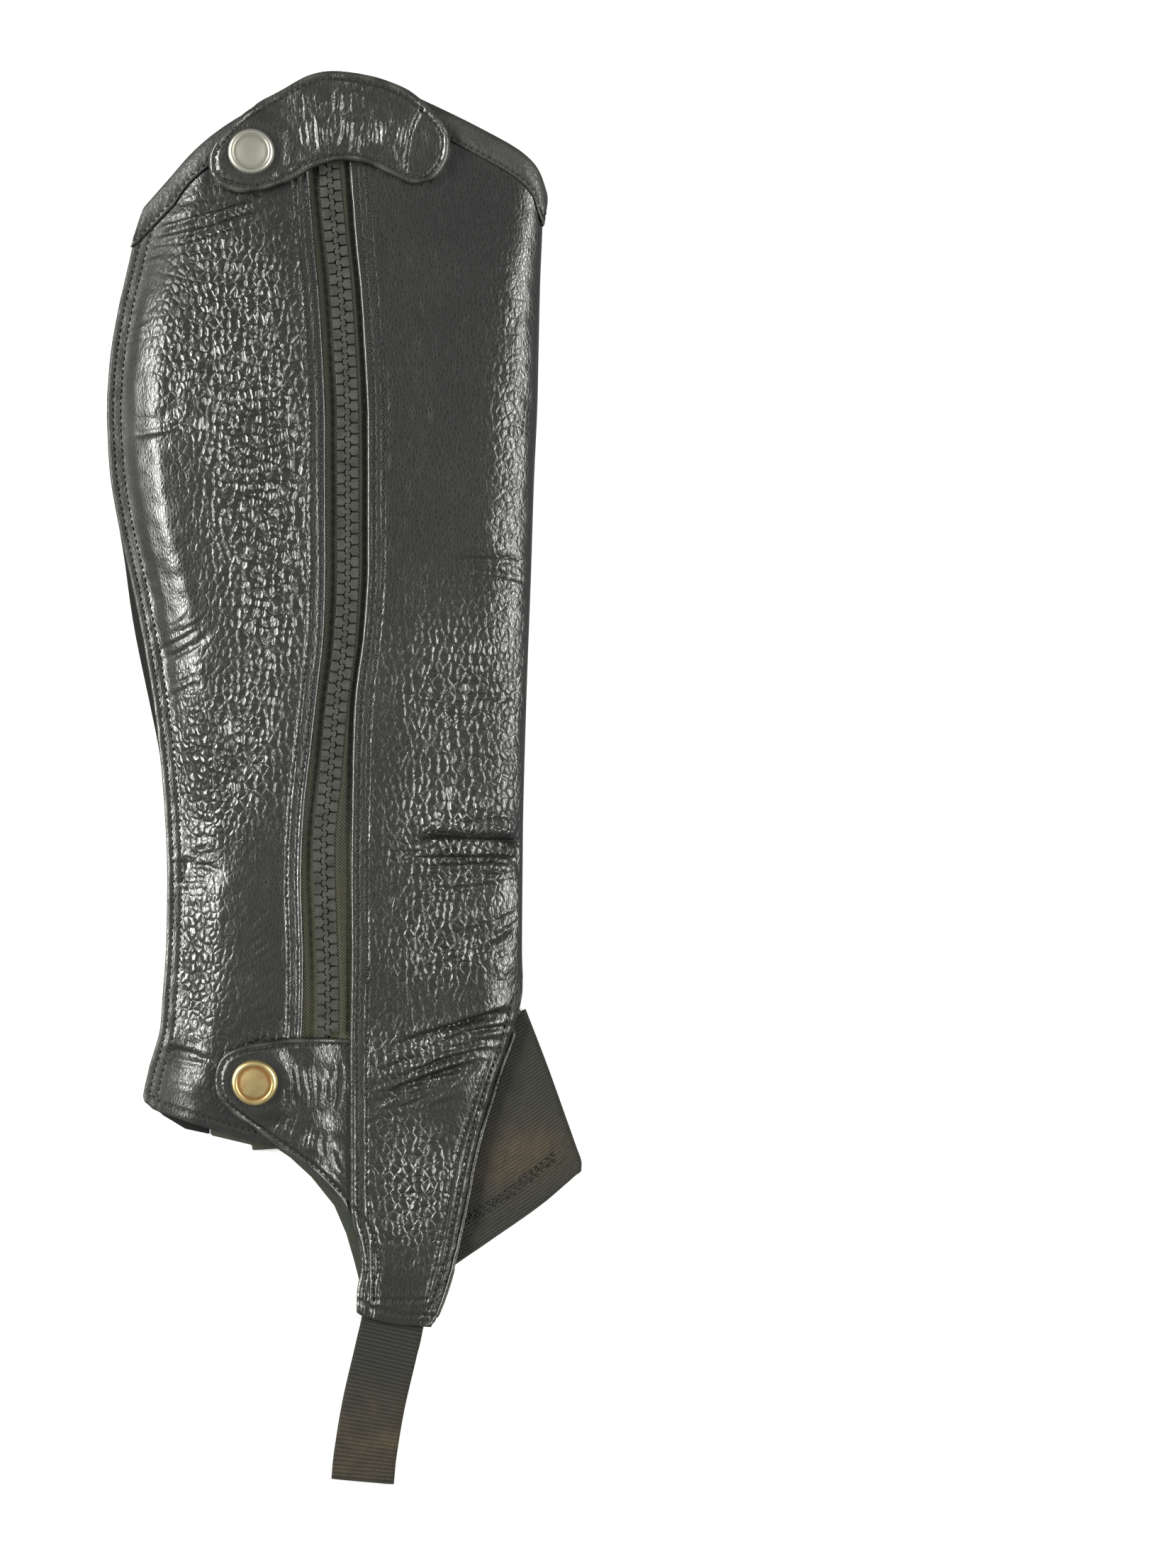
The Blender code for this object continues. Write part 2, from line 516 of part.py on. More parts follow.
def gusset():
    """The elastic that bridges the V at the instep: two layers folded along their right edge."""
    seam, fold, hem = Path(GUSSET_SEAM), Path(GUSSET_FOLD), Path(GUSSET_HEM)
    radius = ELASTIC + 0.8 * MM
    top = Path([GUSSET_SEAM[-1], GUSSET_FOLD[-1]])
    plan = patch(seam, fold, hem, top,
                 [0.0, 0.12, 0.25, 0.5, 0.75, 1.0], spaced(0.0, 1.0, 13))
    rows = []
    for row in plan:
        line = []
        for k, point in enumerate(row[:-1]):
            share = ease(k / (len(row) - 2))
            sewn = under_leather(point, 1.5 * SEAM_GAP)
            line.append((point, sewn * (1 - share) + 2 * radius * share))
        outer = row[-1]
        inward = (row[-2] - outer).normalized()
        for angle in (60, 20, -20, -60):
            turn = math.radians(angle)
            line.append((outer + inward * radius * (1 - math.cos(turn)), radius * (1 + math.sin(turn))))
        line += [(row[k], 0.0) for k in (3, 2, 1, 0)]
        rows.append([Vector((p.x, p.y, z)) for p, z in line])
    return sheet("instep_gusset", rows, ELASTIC, "elastic")


def strap_points(line, share):
    """Points across the strap, from its shin side to its heel side."""
    here = line.at(share)
    tangent = line.at(min(1.0, share + 0.02)) - line.at(max(0.0, share - 0.02))
    side = Vector((tangent.y, -tangent.x)).normalized()
    return [here - side * STRAP_WIDTH * a for a in (0.5, 0.46, 0.25, 0.0, -0.25, -0.46, -0.5)]


def strap_top(point):
    """The loop's upper layer: sewn under the tongue, then free and flat."""
    sewn = under_leather(point, 1.5 * SEAM_GAP)
    free = ease((TONGUE_END_Y - point.y) / (12 * MM))
    return sewn + (STRAP_LOOP_HEIGHT - sewn) * free


def strap_under(point):
    """The loop's lower layer: on the inner tongue, then down on the table."""
    return (LEATHER + SEAM_GAP) * ease((point.y - TONGUE_END_Y + 10 * MM) / (8 * MM))


def foot_strap():
    """The elastic loop that passes under the foot, lying flat: out along the top, back underneath."""
    line = Path(STRAP_LINE)
    radius = STRAP_LOOP_HEIGHT / 2
    rows = []
    for share in spaced(0.0, 0.97, 15):
        rows.append([Vector((*p, strap_top(p))) for p in strap_points(line, share)])
    for angle in (45, 0, -45):
        turn = math.radians(angle)
        level = strap_points(line, 1.0 - 0.03 * (1 - math.cos(turn)))
        rows.append([Vector((*p, radius * (1 + math.sin(turn)))) for p in level])
    for share in spaced(0.97, 0.0, 15):
        rows.append([Vector((*p, strap_under(p))) for p in strap_points(line, share)])
    return sheet("foot_strap", rows, ELASTIC, "elastic")


def snap_cap(name, centre, height, finish):
    """A domed snap cap with a raised rim: a profile turned about its own axis."""
    x, y = centre[0] * MM, centre[1] * MM
    mesh = bpy.data.meshes.new(name)
    mesh.from_pydata([(r * MM, 0.0, z * MM) for r, z in SNAP_PROFILE],
                     [(k, k + 1) for k in range(len(SNAP_PROFILE) - 1)], [])
    cap = add_object(name, mesh, finish)
    turn = cap.modifiers.new("turned", "SCREW")
    turn.steps = turn.render_steps = 28
    turn.use_merge_vertices = True
    turn.merge_threshold = 0.00001
    step = 4 * MM
    normal = Vector((height(x - step, y) - height(x + step, y),
                     height(x, y - step) - height(x, y + step), 2 * step)).normalized()
    cap.location = Vector((x, y, height(x, y) + SNAP_STANDOFF)) + normal * SEAM_GAP
    cap.rotation_mode = "QUATERNION"
    cap.rotation_quaternion = normal.to_track_quat("Z", "Y")
    return cap


def slider():
    """The zip's slider, closed at the top and hidden under the top tab, with its short pull lying up."""
    y = SLIDER_Y
    x = column(ZIP_ROWS, "middle", y)
    z = leather_top(x, y) + tape_lift + SEAM_GAP
    work = bmesh.new()
    bmesh.ops.create_cube(work, size=1.0)
    bmesh.ops.scale(work, vec=SLIDER_SIZE, verts=work.verts)
    for vert in work.verts:
        if vert.co.y < 0:
            vert.co.x *= 0.75
    back = max(work.faces, key=lambda face: face.normal.y)
    bmesh.ops.inset_region(work, faces=[back], thickness=SLIDER_SIZE[2] / 3)
    pull = bmesh.ops.extrude_face_region(work, geom=[back])["geom"]
    bmesh.ops.delete(work, geom=[back], context="FACES_ONLY")
    grown = [item for item in pull if isinstance(item, bmesh.types.BMVert)]
    bmesh.ops.translate(work, vec=(0.0, SLIDER_PULL, 0.0), verts=grown)
    for vert in grown:
        vert.co.x *= 0.6
    mesh = bpy.data.meshes.new("zip_slider")
    work.to_mesh(mesh)
    work.free()
    made = add_object("zip_slider", mesh, "zip teeth")
    made.location = (x, y, z + SLIDER_SIZE[2] / 2)
    made.rotation_euler.x = SLIDER_TILT
    return made


def elastic_strip_outline():
    """The strip behind the calf seam: its outer edge shows a little below the calf's widest part."""
    outer, inner = [], []
    for y in spaced(-118.0, 205.0, 48):
        left = column(SECTIONS, "left", y * MM)
        shows = ELASTIC_STRIP_SHOWS * math.sin(math.pi * min(1.0, max(0.0, (y + 4) / 112))) ** 2
        outer.append(Vector((left - shows + 0.2 * MM, y * MM)))
        inner.append(Vector((left + ELASTIC_STRIP_WIDTH, y * MM)))
    top = [Vector(p) * MM for p in top_edge(-73.6, -50.4, BACK_EDGE_DROP)]
    return outer + top + inner[::-1] + [Vector(p) * MM for p in ELASTIC_FOOT]


def inner_leg_outline(shin_rows):
    """The inner leg panel: from the elastic strip to the seam under the shin, with the inner tongue."""
    left = [Vector((column(SECTIONS, "left", y * MM) + ELASTIC_STRIP_WIDTH + SEAM_GAP, y * MM))
            for y in spaced(212.0, -118.0, 30)]
    heel = [Vector(p) * MM for p in INNER_HEEL]
    v_edge = Path(GUSSET_SEAM)
    tongue = [Vector((28.0, -199.5)) * MM, Vector((33.0, -194.0)) * MM]
    tongue += [v_edge.at(s) - Vector((0.8 * MM, 0.0)) for s in spaced(0.0, 1.0, 12)]
    top = [Vector(p) * MM for p in top_edge(61.0, -49.6, BACK_EDGE_DROP)]
    ends = [row[-1] for row in shin_rows if APEX_Y < row[-1].y < top[0].y - 2 * MM]
    seam = [Vector((end.x - SEAM_GAP, end.y)) for end in ends]
    return left + heel + tongue + seam + top


bpy.context.view_layer.update()
for old in list(bpy.data.objects):
    bpy.data.objects.remove(old, do_unlink=True)
chap = bpy.data.collections.new("half_chap")
bpy.context.scene.collection.children.link(chap)

calf = calf_grid()
shin = shin_grid()
sheet("calf_panel", calf, LEATHER, "leather")
sheet("shin_panel", shin, LEATHER, "leather")
binding("calf_binding", calf, range(len(CALF_COLUMNS)))
binding("shin_binding", shin, range(len(SHIN_FLAT_COLUMNS + SHIN_ROLL_COLUMNS) - 2))

back_band = [Vector(p) * MM for p in top_edge(-73.9, 60.8, 0.6 * MM)
             + top_edge(60.8, -73.9, BACK_EDGE_DROP - 0.7 * MM)]
flat_plate("inner_leg_binding", back_band, BACK_BINDING, "leather")

tape_lift = -LEATHER - SEAM_GAP - CHAIN_TUCK
for tape, near, far in (("zip_tape_calf", -ZIP_TAPE_REACH, -0.6 * SEAM_GAP),
                        ("zip_tape_shin", 0.6 * SEAM_GAP, ZIP_TAPE_REACH)):
    zip_strip(tape, near, far, tape_lift, ZIP_TAPE, "zip tape", ZIP_TAPE_TOP)
zip_strip("zip_chain", -ZIP_CHAIN_WIDTH / 2, ZIP_CHAIN_WIDTH / 2,
          tape_lift + SEAM_GAP + ZIP_CHAIN_HEIGHT, ZIP_CHAIN_HEIGHT, "zip teeth", ZIP_CHAIN_TOP)
slider()

tab("top_tab", (TOP_TAB_LEFT, TOP_TAB_RIGHT, TOP_TAB_LOWER, TOP_TAB_UPPER), top_tab_height, TOP_SNAP,
    TAB_LEATHER, spaced(0.0, 1.0, 23), spaced(0.0, 1.0, 9))
tab("heel_tab", (HEEL_TAB_TIP, HEEL_TAB_SEAM, HEEL_TAB_LOWER, HEEL_TAB_UPPER), heel_tab_height, HEEL_SNAP,
    LEATHER, spaced(0.0, 1.0, 15), spaced(0.0, 1.0, 9))
snap_cap("top_snap", TOP_SNAP, top_tab_height, "nickel")
snap_cap("heel_snap", HEEL_SNAP, heel_tab_height, "brass")

gusset()
foot_strap()
flat_plate("calf_elastic", elastic_strip_outline(), ELASTIC, "elastic")
flat_plate("inner_leg_panel", inner_leg_outline(shin), LEATHER, "leather")
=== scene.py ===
import math

import bpy
import numpy as np
from mathutils import Matrix, Vector
from mathutils.bvhtree import BVHTree


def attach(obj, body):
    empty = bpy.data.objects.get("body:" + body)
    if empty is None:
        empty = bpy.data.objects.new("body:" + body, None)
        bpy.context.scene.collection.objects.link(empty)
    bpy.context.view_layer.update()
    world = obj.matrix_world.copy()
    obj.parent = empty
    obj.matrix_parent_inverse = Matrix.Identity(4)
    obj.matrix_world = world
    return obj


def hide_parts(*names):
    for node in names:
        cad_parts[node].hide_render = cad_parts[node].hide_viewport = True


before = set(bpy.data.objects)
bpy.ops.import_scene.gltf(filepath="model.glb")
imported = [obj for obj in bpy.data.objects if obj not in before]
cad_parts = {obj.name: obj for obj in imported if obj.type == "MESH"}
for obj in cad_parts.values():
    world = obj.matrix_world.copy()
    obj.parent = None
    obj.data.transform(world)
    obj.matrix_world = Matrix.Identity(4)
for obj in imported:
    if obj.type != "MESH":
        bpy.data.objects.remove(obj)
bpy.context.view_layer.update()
bpy.ops.object.select_all(action="DESELECT")
mm = 0.001

# The chap lies zip side up: +Y runs up the leg and +X points to the shin fold. Tables are in millimetres.
# y up the leg, left and right edge, then the leather's height over the calf, zip, shin and right edge,
# and how far in the roll at the shin fold starts
sections = np.array([
    (-203.0, -76.0, 31.5, 7.2, 7.3, 7.4, 6.8, 7.0),
    (-180.0, -76.0, 40.7, 6.6, 7.4, 7.7, 6.4, 8.0),
    (-158.0, -76.0, 45.3, 6.6, 8.0, 8.6, 6.0, 10.0),
    (-132.0, -75.5, 51.0, 8.0, 9.5, 9.8, 5.8, 12.0),
    (-117.0, -75.0, 55.5, 9.5, 10.5, 10.6, 5.7, 13.0),
    (-106.0, -72.5, 59.5, 10.5, 11.0, 11.6, 5.7, 14.0),
    (-93.0, -68.8, 63.1, 11.5, 11.5, 12.6, 5.8, 15.0),
    (-79.0, -67.6, 66.6, 12.5, 12.0, 13.5, 5.9, 16.0),
    (-63.0, -66.5, 66.5, 13.0, 12.5, 14.0, 6.0, 17.0),
    (-35.0, -66.0, 66.7, 13.0, 13.0, 13.5, 6.0, 18.0),
    (-10.0, -67.0, 67.0, 14.5, 14.0, 15.0, 6.5, 18.0),
    (32.0, -71.5, 68.2, 17.0, 15.5, 16.0, 7.0, 18.0),
    (75.0, -79.5, 69.8, 19.5, 16.5, 17.0, 7.2, 18.0),
    (112.0, -87.0, 71.0, 21.0, 17.0, 18.0, 7.5, 18.0),
    (138.0, -88.5, 72.2, 21.0, 17.0, 18.0, 7.5, 18.0),
    (160.0, -87.0, 72.7, 20.0, 16.5, 17.5, 7.5, 18.0),
    (186.0, -82.0, 73.3, 17.5, 15.0, 16.5, 7.2, 16.0),
    (214.5, -75.0, 74.3, 13.5, 13.0, 13.8, 7.2, 12.0),
    (238.0, -69.5, 74.4, 12.0, 12.5, 12.6, 7.0, 9.0),
    (262.0, -63.0, 74.4, 10.2, 11.0, 11.0, 6.6, 7.0),
]).T * mm

# y, the zip's middle line, and how far the calf panel's and the shin panel's edges stand from it
zipRows = np.array([
    (-94.0, -5.4, 9.3, 8.1),
    (-79.0, -5.3, 9.0, 8.3),
    (-52.5, -6.1, 8.3, 9.4),
    (-26.0, -6.8, 8.2, 9.8),
    (0.5, -4.4, 8.0, 8.2),
    (27.0, -2.0, 7.4, 6.2),
    (53.5, 1.2, 7.6, 6.4),
    (80.0, 2.4, 8.0, 6.9),
    (133.0, 2.3, 8.0, 7.0),
    (159.5, 1.2, 8.0, 6.9),
    (186.0, -0.7, 8.0, 6.9),
    (212.5, -3.6, 8.0, 6.9),
    (262.0, -7.6, 8.0, 6.9),
]).T * mm

# the largest folds: from x, y to x, y, then width and depth (a ridge where the depth is negative)
folds = [
    (70.0, -26.5, 12.0, -27.5, 4.8, 3.4),
    (70.0, -20.0, 26.0, -19.0, 5.5, -1.2),
    (70.0, -51.0, 22.0, -67.0, 5.0, 1.6),
    (68.0, -86.0, 12.0, -104.0, 5.0, 2.0),
    (64.0, -98.0, 10.0, -118.0, 5.0, 1.8),
    (72.0, 78.0, 36.0, 80.0, 5.0, 1.1),
    (70.0, 33.0, 18.0, 34.0, 5.0, 0.9),
    (-80.0, 130.0, -52.0, 136.0, 5.0, 1.3),
    (-70.0, 44.0, -46.0, 58.0, 5.0, 1.3),
    (-62.0, -31.0, -38.0, -33.0, 5.0, 1.2),
    (-66.0, -101.0, -48.0, -105.0, 5.0, 1.6),
]

wall = {"leather": 1.5 * mm, "tab": 2.4 * mm, "binding": 1.0 * mm, "elastic": 1.3 * mm, "tape": 0.8 * mm,
        "seamGap": 0.35 * mm}
flange = {"width": 6.0 * mm, "height": 3.4 * mm, "slope": 1.4 * mm, "rise": 1.6 * mm, "riseFrom": 195 * mm}
foldUnder = {"reach": 9.0 * mm, "strip": 3.5 * mm, "apexY": -79.0 * mm}
snaps = {"top": (-33.3 * mm, 232.4 * mm), "heel": (-32.3 * mm, -111.6 * mm), "radius": 8.5 * mm,
         "standoff": 2.0 * mm, "flat": 2.5 * mm, "blend": 7.0 * mm, "step": 4.0 * mm}

topOutline = [(-74.6, 214.6), (-65.3, 224.5), (-56.6, 233.7), (-42.8, 244.3), (-24.0, 254.9),
              (-12.0, 260.9), (-1.0, 262.4), (12.0, 260.6), (35.4, 250.4), (56.6, 239.6),
              (66.8, 233.4), (72.2, 228.0), (74.3, 221.5)]
calfHem = [(-74.4, -119.5), (-70.5, -122.6), (-56.0, -127.5), (-34.0, -133.8), (-20.0, -136.6)]
calfSeamFoot = [(-74.9, -117.0), (-72.5, -106.0), (-68.8, -93.0)]
shinEdgeFoot = [(4.9, -197.7), (5.2, -188.5), (6.7, -181.0), (5.6, -172.0), (3.2, -163.0), (2.8, -140.0),
                (2.8, -96.0)]
tongueEdge = [(30.9, -203.0), (35.1, -197.0), (40.7, -180.0), (45.3, -158.0), (51.0, -132.0), (55.8, -116.0),
              (61.1, -100.2), (64.0, -89.6), (66.6, -79.0)]
tongueEnd = [(4.9, -197.7), (9.0, -200.0), (20.0, -202.4), (30.9, -203.0)]


def flow(knots, values, x):  # smooth curve through the knots that never overshoots them
    x = np.asarray(x, float)
    knots = np.broadcast_to(knots, x.shape + np.shape(knots)[-1:])
    values = np.broadcast_to(values, knots.shape)
    step = np.diff(knots, axis=-1)
    slope = np.diff(values, axis=-1) / step
    a, b = slope[..., :-1], slope[..., 1:]
    turns = a * b <= 0
    inner = np.where(turns, 0.0, 2 * a * b / np.where(turns, 1.0, a + b))
    lean = np.concatenate([slope[..., :1], inner, slope[..., -1:]], axis=-1)
    x = np.clip(x, knots[..., 0], knots[..., -1])
    k = (knots[..., 1:-1] <= x[..., None]).sum(-1)

    def pick(table, j):
        return np.take_along_axis(table, j[..., None], -1)[..., 0]

    h = pick(step, k)
    t = (x - pick(knots, k)) / h
    return ((2 * t**3 - 3 * t**2 + 1) * pick(values, k) + (3 * t**2 - 2 * t**3) * pick(values, k + 1)
            + ((t**3 - 2 * t**2 + t) * pick(lean, k) + (t**3 - t**2) * pick(lean, k + 1)) * h)


def ease(t):
    t = np.clip(t, 0.0, 1.0)
    return t * t * (3.0 - 2.0 * t)


def hill(distance, width):
    return np.exp(-(distance / width) ** 2)


def zipMiddle(y):
    return flow(zipRows[0], zipRows[1], y)


def foldDepth(x, y):
    total = np.zeros(np.shape(x))
    for x0, y0, x1, y1, width, depth in folds:
        runX, runY = (x1 - x0) * mm, (y1 - y0) * mm
        dx, dy = x - x0 * mm, y - y0 * mm
        share = (dx * runX + dy * runY) / (runX**2 + runY**2)
        away = np.hypot(dx - share * runX, dy - share * runY)
        total += depth * mm * hill(away, width * mm) * ease(share / 0.15) * ease((1.0 - share) / 0.5)
    return total


def leatherTop(x, y, folded=True):  # height of the leather's outer side over the table
    left, right, calf, zipTop, shin, edge, roll = (flow(sections[0], row, y) for row in sections[1:])
    start = right - roll
    rim = flange["height"] + flange["rise"] * ease((y - flange["riseFrom"]) / (20 * mm))
    share = np.clip((x - start) / roll, 0.0, 1.0)
    drop = (1.0 - share * share) ** (1.0 - 0.5 * ease((y - foldUnder["apexY"]) / (12 * mm)))
    xs = np.stack([left, left + flange["width"], left + 12 * mm, left + 22 * mm, left + 38 * mm,
                   zipMiddle(y), start], axis=-1)
    shoulder = np.maximum(0.62 * calf, rim + 1.5 * flange["slope"])
    zs = np.stack([rim, rim + flange["slope"], shoulder, 0.93 * calf, calf, zipTop, shin], axis=-1)
    sunk = foldDepth(x, y) if folded else 0.0
    flat = flow(xs, zs, x) - sunk * ease((x - left) / (2 * flange["width"]))
    return np.where(x > start, edge + (shin - edge) * drop - sunk * drop, flat)


def route(points):  # a smooth line in plan through a few points: its places and lengths
    points = np.array(points, float) * mm
    ends = np.vstack([2 * points[0] - points[1], points, 2 * points[-1] - points[-2]])
    line = []
    t = (np.arange(16) / 16)[:, None]
    for a, b, c, d in zip(ends, ends[1:], ends[2:], ends[3:]):
        span = np.linalg.norm(c - b)
        leanIn = (c - a) * span / (span + np.linalg.norm(b - a))
        leanOut = (d - b) * span / (np.linalg.norm(d - c) + span)
        line.append((2 * t**3 - 3 * t**2 + 1) * b + (3 * t**2 - 2 * t**3) * c
                    + (t**3 - 2 * t**2 + t) * leanIn + (t**3 - t**2) * leanOut)
    return measured(np.vstack(line + [points[-1:]]))


def measured(line):
    return line, np.concatenate([[0.0], np.cumsum(np.linalg.norm(np.diff(line, axis=0), axis=1))])


def along(way, share):
    line, lengths = way
    place = np.asarray(share, float) * lengths[-1]
    return np.stack([np.interp(place, lengths, line[:, k]) for k in range(2)], axis=-1)


def beside(way, offset, start=0.0, end=1.0):  # the same line moved to its left (or right, if negative)
    line, lengths = way
    places = along(way, np.linspace(start, end, max(8, int(lengths[-1] * (end - start) / mm))))
    lean = np.gradient(places, axis=0)
    lean /= np.linalg.norm(lean, axis=1, keepdims=True)
    return measured(places + np.stack([-lean[:, 1], lean[:, 0]], axis=1) * offset * mm)


def patch(left, right, bottom, top, across, up):  # plan places of a four-sided piece, row by row
    u, v = np.asarray(across, float)[None, :, None], np.asarray(up, float)[:, None, None]
    a, b, c, d = along(bottom, 0.0), along(bottom, 1.0), along(top, 0.0), along(top, 1.0)
    sides = (1 - u) * along(left, up)[:, None, :] + u * along(right, up)[:, None, :]
    ends = (1 - v) * along(bottom, across)[None, :, :] + v * along(top, across)[None, :, :]
    return sides + ends - ((1 - u) * (1 - v) * a + u * (1 - v) * b + (1 - u) * v * c + u * v * d)


outlineWay = route(topOutline)


def outlineShare(x):
    line, lengths = outlineWay
    return np.interp(x, line[:, 0], lengths) / lengths[-1]


def topEdge(fromX, toX, drop=2.0):
    places = along(outlineWay, np.linspace(outlineShare(fromX * mm), outlineShare(toX * mm), 24))
    return [(x / mm, y / mm - drop) for x, y in places]


def bodySeam(kind):
    heights = np.array([-80, -63, -35, -10, 11, 32, 53, 75, 93, 112, 125, 138, 149, 160, 173, 186, 200.0])
    if kind == "calf":
        xs = flow(sections[0], sections[1], heights * mm)
    elif kind == "zipCalf":
        xs = zipMiddle(heights * mm) - flow(zipRows[0], zipRows[2], heights * mm)
    else:
        xs = zipMiddle(heights * mm) + flow(zipRows[0], zipRows[3], heights * mm)
    return list(zip(xs / mm, heights))


def nearWay(places, way, step=0.5):  # how far each place is from a line, and how far along the line it is
    line, lengths = way
    marks = along(way, np.linspace(0, 1, max(4, int(lengths[-1] / (step * mm)))))
    flat = places.reshape(-1, 2)
    away, spot = np.empty(len(flat)), np.empty(len(flat))
    for k in range(0, len(flat), 4000):
        gaps = np.linalg.norm(flat[k:k + 4000, None, :] - marks[None, :, :], axis=2)
        spot[k:k + 4000] = gaps.argmin(axis=1) * lengths[-1] / (len(marks) - 1)
        away[k:k + 4000] = gaps.min(axis=1)
    return away.reshape(places.shape[:-1]), spot.reshape(places.shape[:-1])


def uneven(x, y, size, seed):  # soft unevenness between about -1 and 1, whose swells are about size apart
    chance = np.random.default_rng(seed)
    total = np.zeros(np.shape(x))
    for _ in range(14):
        angle, phase = chance.uniform(0, 2 * math.pi, 2)
        pitch = size * mm * chance.uniform(0.75, 1.6)
        total += np.sin((x * math.cos(angle) + y * math.sin(angle)) * 2 * math.pi / pitch + phase)
    return total / 3.7


def gridMesh(name, grid, keep=None, **layers):  # quads between a grid's points, with values on the points
    rows, columns = grid.shape[:2]
    keep = np.ones((rows, columns), bool) if keep is None else keep
    index = np.full(rows * columns, -1)
    index[keep.ravel()] = np.arange(keep.sum())
    index = index.reshape(rows, columns)
    quads = np.stack([index[:-1, :-1], index[:-1, 1:], index[1:, 1:], index[1:, :-1]], axis=-1)
    quads = quads.reshape(-1, 4)
    quads = quads[(quads >= 0).all(axis=1)]
    mesh = bpy.data.meshes.new(name)
    mesh.from_pydata(grid[keep].tolist(), [], quads.tolist())
    for layer, values in layers.items():
        values = np.asarray(values, float)
        kind = "FLOAT_VECTOR" if values.ndim == 3 else "FLOAT"
        field = "vector" if values.ndim == 3 else "value"
        mesh.attributes.new(layer, kind, "POINT").data.foreach_set(field, values[keep].ravel())
    mesh.shade_smooth()
    return mesh


def addPiece(name, mesh, slot, *nodes):
    piece = bpy.data.objects.new(name, mesh)
    bpy.context.scene.collection.objects.link(piece)
    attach(piece, "root")
    if nodes:
        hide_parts(*nodes)
    return piece


def selectOnly(piece):
    bpy.ops.object.select_all(action="DESELECT")
    piece.select_set(True)
    bpy.context.view_layer.objects.active = piece


def applyModifier(piece, kind, **settings):
    selectOnly(piece)
    modifier = piece.modifiers.new(kind.lower(), kind)
    for key, value in settings.items():
        setattr(modifier, key, value)
    bpy.ops.object.modifier_apply(modifier=modifier.name)


def thicken(piece, depth, cut=0):  # gives a sheet its wall, and returns its outer side for the stitches
    surface = BVHTree.FromObject(piece, bpy.context.evaluated_depsgraph_get())
    applyModifier(piece, "SOLIDIFY", thickness=depth, offset=-1.0, material_offset=cut)
    return surface


def editOneFace(piece, direction):  # opens edit mode with only the face that looks farthest that way selected
    bpy.ops.object.mode_set(mode="EDIT")
    bpy.ops.mesh.select_all(action="DESELECT")
    bpy.ops.object.mode_set(mode="OBJECT")
    max(piece.data.polygons, key=lambda face: face.normal.dot(direction)).select = True
    bpy.ops.object.mode_set(mode="EDIT")


def finishWith(piece, *materials):
    piece.data.materials.clear()
    for material in materials:
        piece.data.materials.append(material)


def gridNormals(grid):
    normal = np.cross(np.gradient(grid, axis=1), np.gradient(grid, axis=0))
    return normal / np.maximum(np.linalg.norm(normal, axis=-1, keepdims=True), 1e-12)


def lengthDown(grid, column):  # how far down one column each row of a grid lies, for every point
    steps = np.diff(grid[:, column], axis=0, prepend=grid[:1, column])
    return np.repeat(np.cumsum(np.linalg.norm(steps, axis=-1))[:, None], grid.shape[1], axis=1)


# the photo's millimetres a pixel, its size, the pixel of the origin, and the camera's height and film
view = {"scale": 0.265, "frame": (1659, 2212), "middle": (486, 1102), "distance": 1.4, "film": 36.0}


def addCamera():
    width, height = view["frame"]
    camera = bpy.data.objects.new("camera", bpy.data.cameras.new("camera"))
    camera.data.sensor_fit = "VERTICAL"
    camera.data.sensor_height = view["film"]
    camera.data.lens = view["film"] * view["distance"] / (height * view["scale"] * mm)
    camera.location = ((width / 2 - view["middle"][0]) * view["scale"] * mm,
                       (view["middle"][1] - height / 2) * view["scale"] * mm, view["distance"])
    bpy.context.scene.collection.objects.link(camera)
    bpy.context.scene.camera = camera


def addLight(name, place, aim, size, power, colour=(1.0, 1.0, 1.0)):
    light = bpy.data.objects.new(name, bpy.data.lights.new(name, "AREA"))
    light.data.shape = "RECTANGLE"
    light.data.size, light.data.size_y = size
    light.data.energy = power
    light.data.color = colour
    light.location = place
    light.rotation_mode = "QUATERNION"
    light.rotation_quaternion = (Vector(place) - Vector(aim)).to_track_quat("Z", "Y")
    bpy.context.scene.collection.objects.link(light)


addCamera()
lampTint = (1.0, 1.0, 0.94)
addLight("left softbox", (-1.3, 0.24, 0.66), (0.0, 0.05, 0.0), (0.95, 0.42), 34.0, lampTint)
addLight("right softbox", (1.08, 0.05, 0.92), (0.0, 0.0, 0.0), (1.1, 0.36), 20.0, lampTint)
world = bpy.data.worlds.new("studio")
world.use_nodes = True
backdrop = world.node_tree.nodes["Background"]
backdrop.inputs["Color"].default_value = (0.9, 0.93, 0.95, 1.0)
backdrop.inputs["Strength"].default_value = 0.32
bpy.context.scene.world = world
bpy.context.scene.view_settings.view_transform = "Standard"

bpy.ops.mesh.primitive_plane_add(size=8.0, location=(0.0, 0.0, 0.0))
floor = bpy.context.object
floor.name = "floor"
floor.visible_glossy = False
floor.visible_diffuse = False
print("camera, lights and floor are in")


def srgb(code):
    values = [int(code[k:k + 2], 16) / 255 for k in (1, 3, 5)]
    return [v / 12.92 if v <= 0.04045 else ((v + 0.055) / 1.055) ** 2.4 for v in values] + [1.0]


def setInputs(tree, node, values):  # a value is a number, a colour or another node's output
    for key, value in values.items():
        if isinstance(value, bpy.types.NodeSocket):
            tree.links.new(value, node.inputs[key])
        else:
            node.inputs[key].default_value = value


def addNode(tree, kind, settings, inputs, output=0):  # inputs are named, or numbered where names repeat
    node = tree.nodes.new("ShaderNode" + kind)
    for key, value in settings.items():
        setattr(node, key, value)
    setInputs(tree, node, inputs)
    return node.outputs[output]


def objectPlace(tree):
    return addNode(tree, "TexCoord", {}, {}, "Object")


def attribute(tree, name, output="Fac"):
    return addNode(tree, "Attribute", {"attribute_name": name}, {}, output)


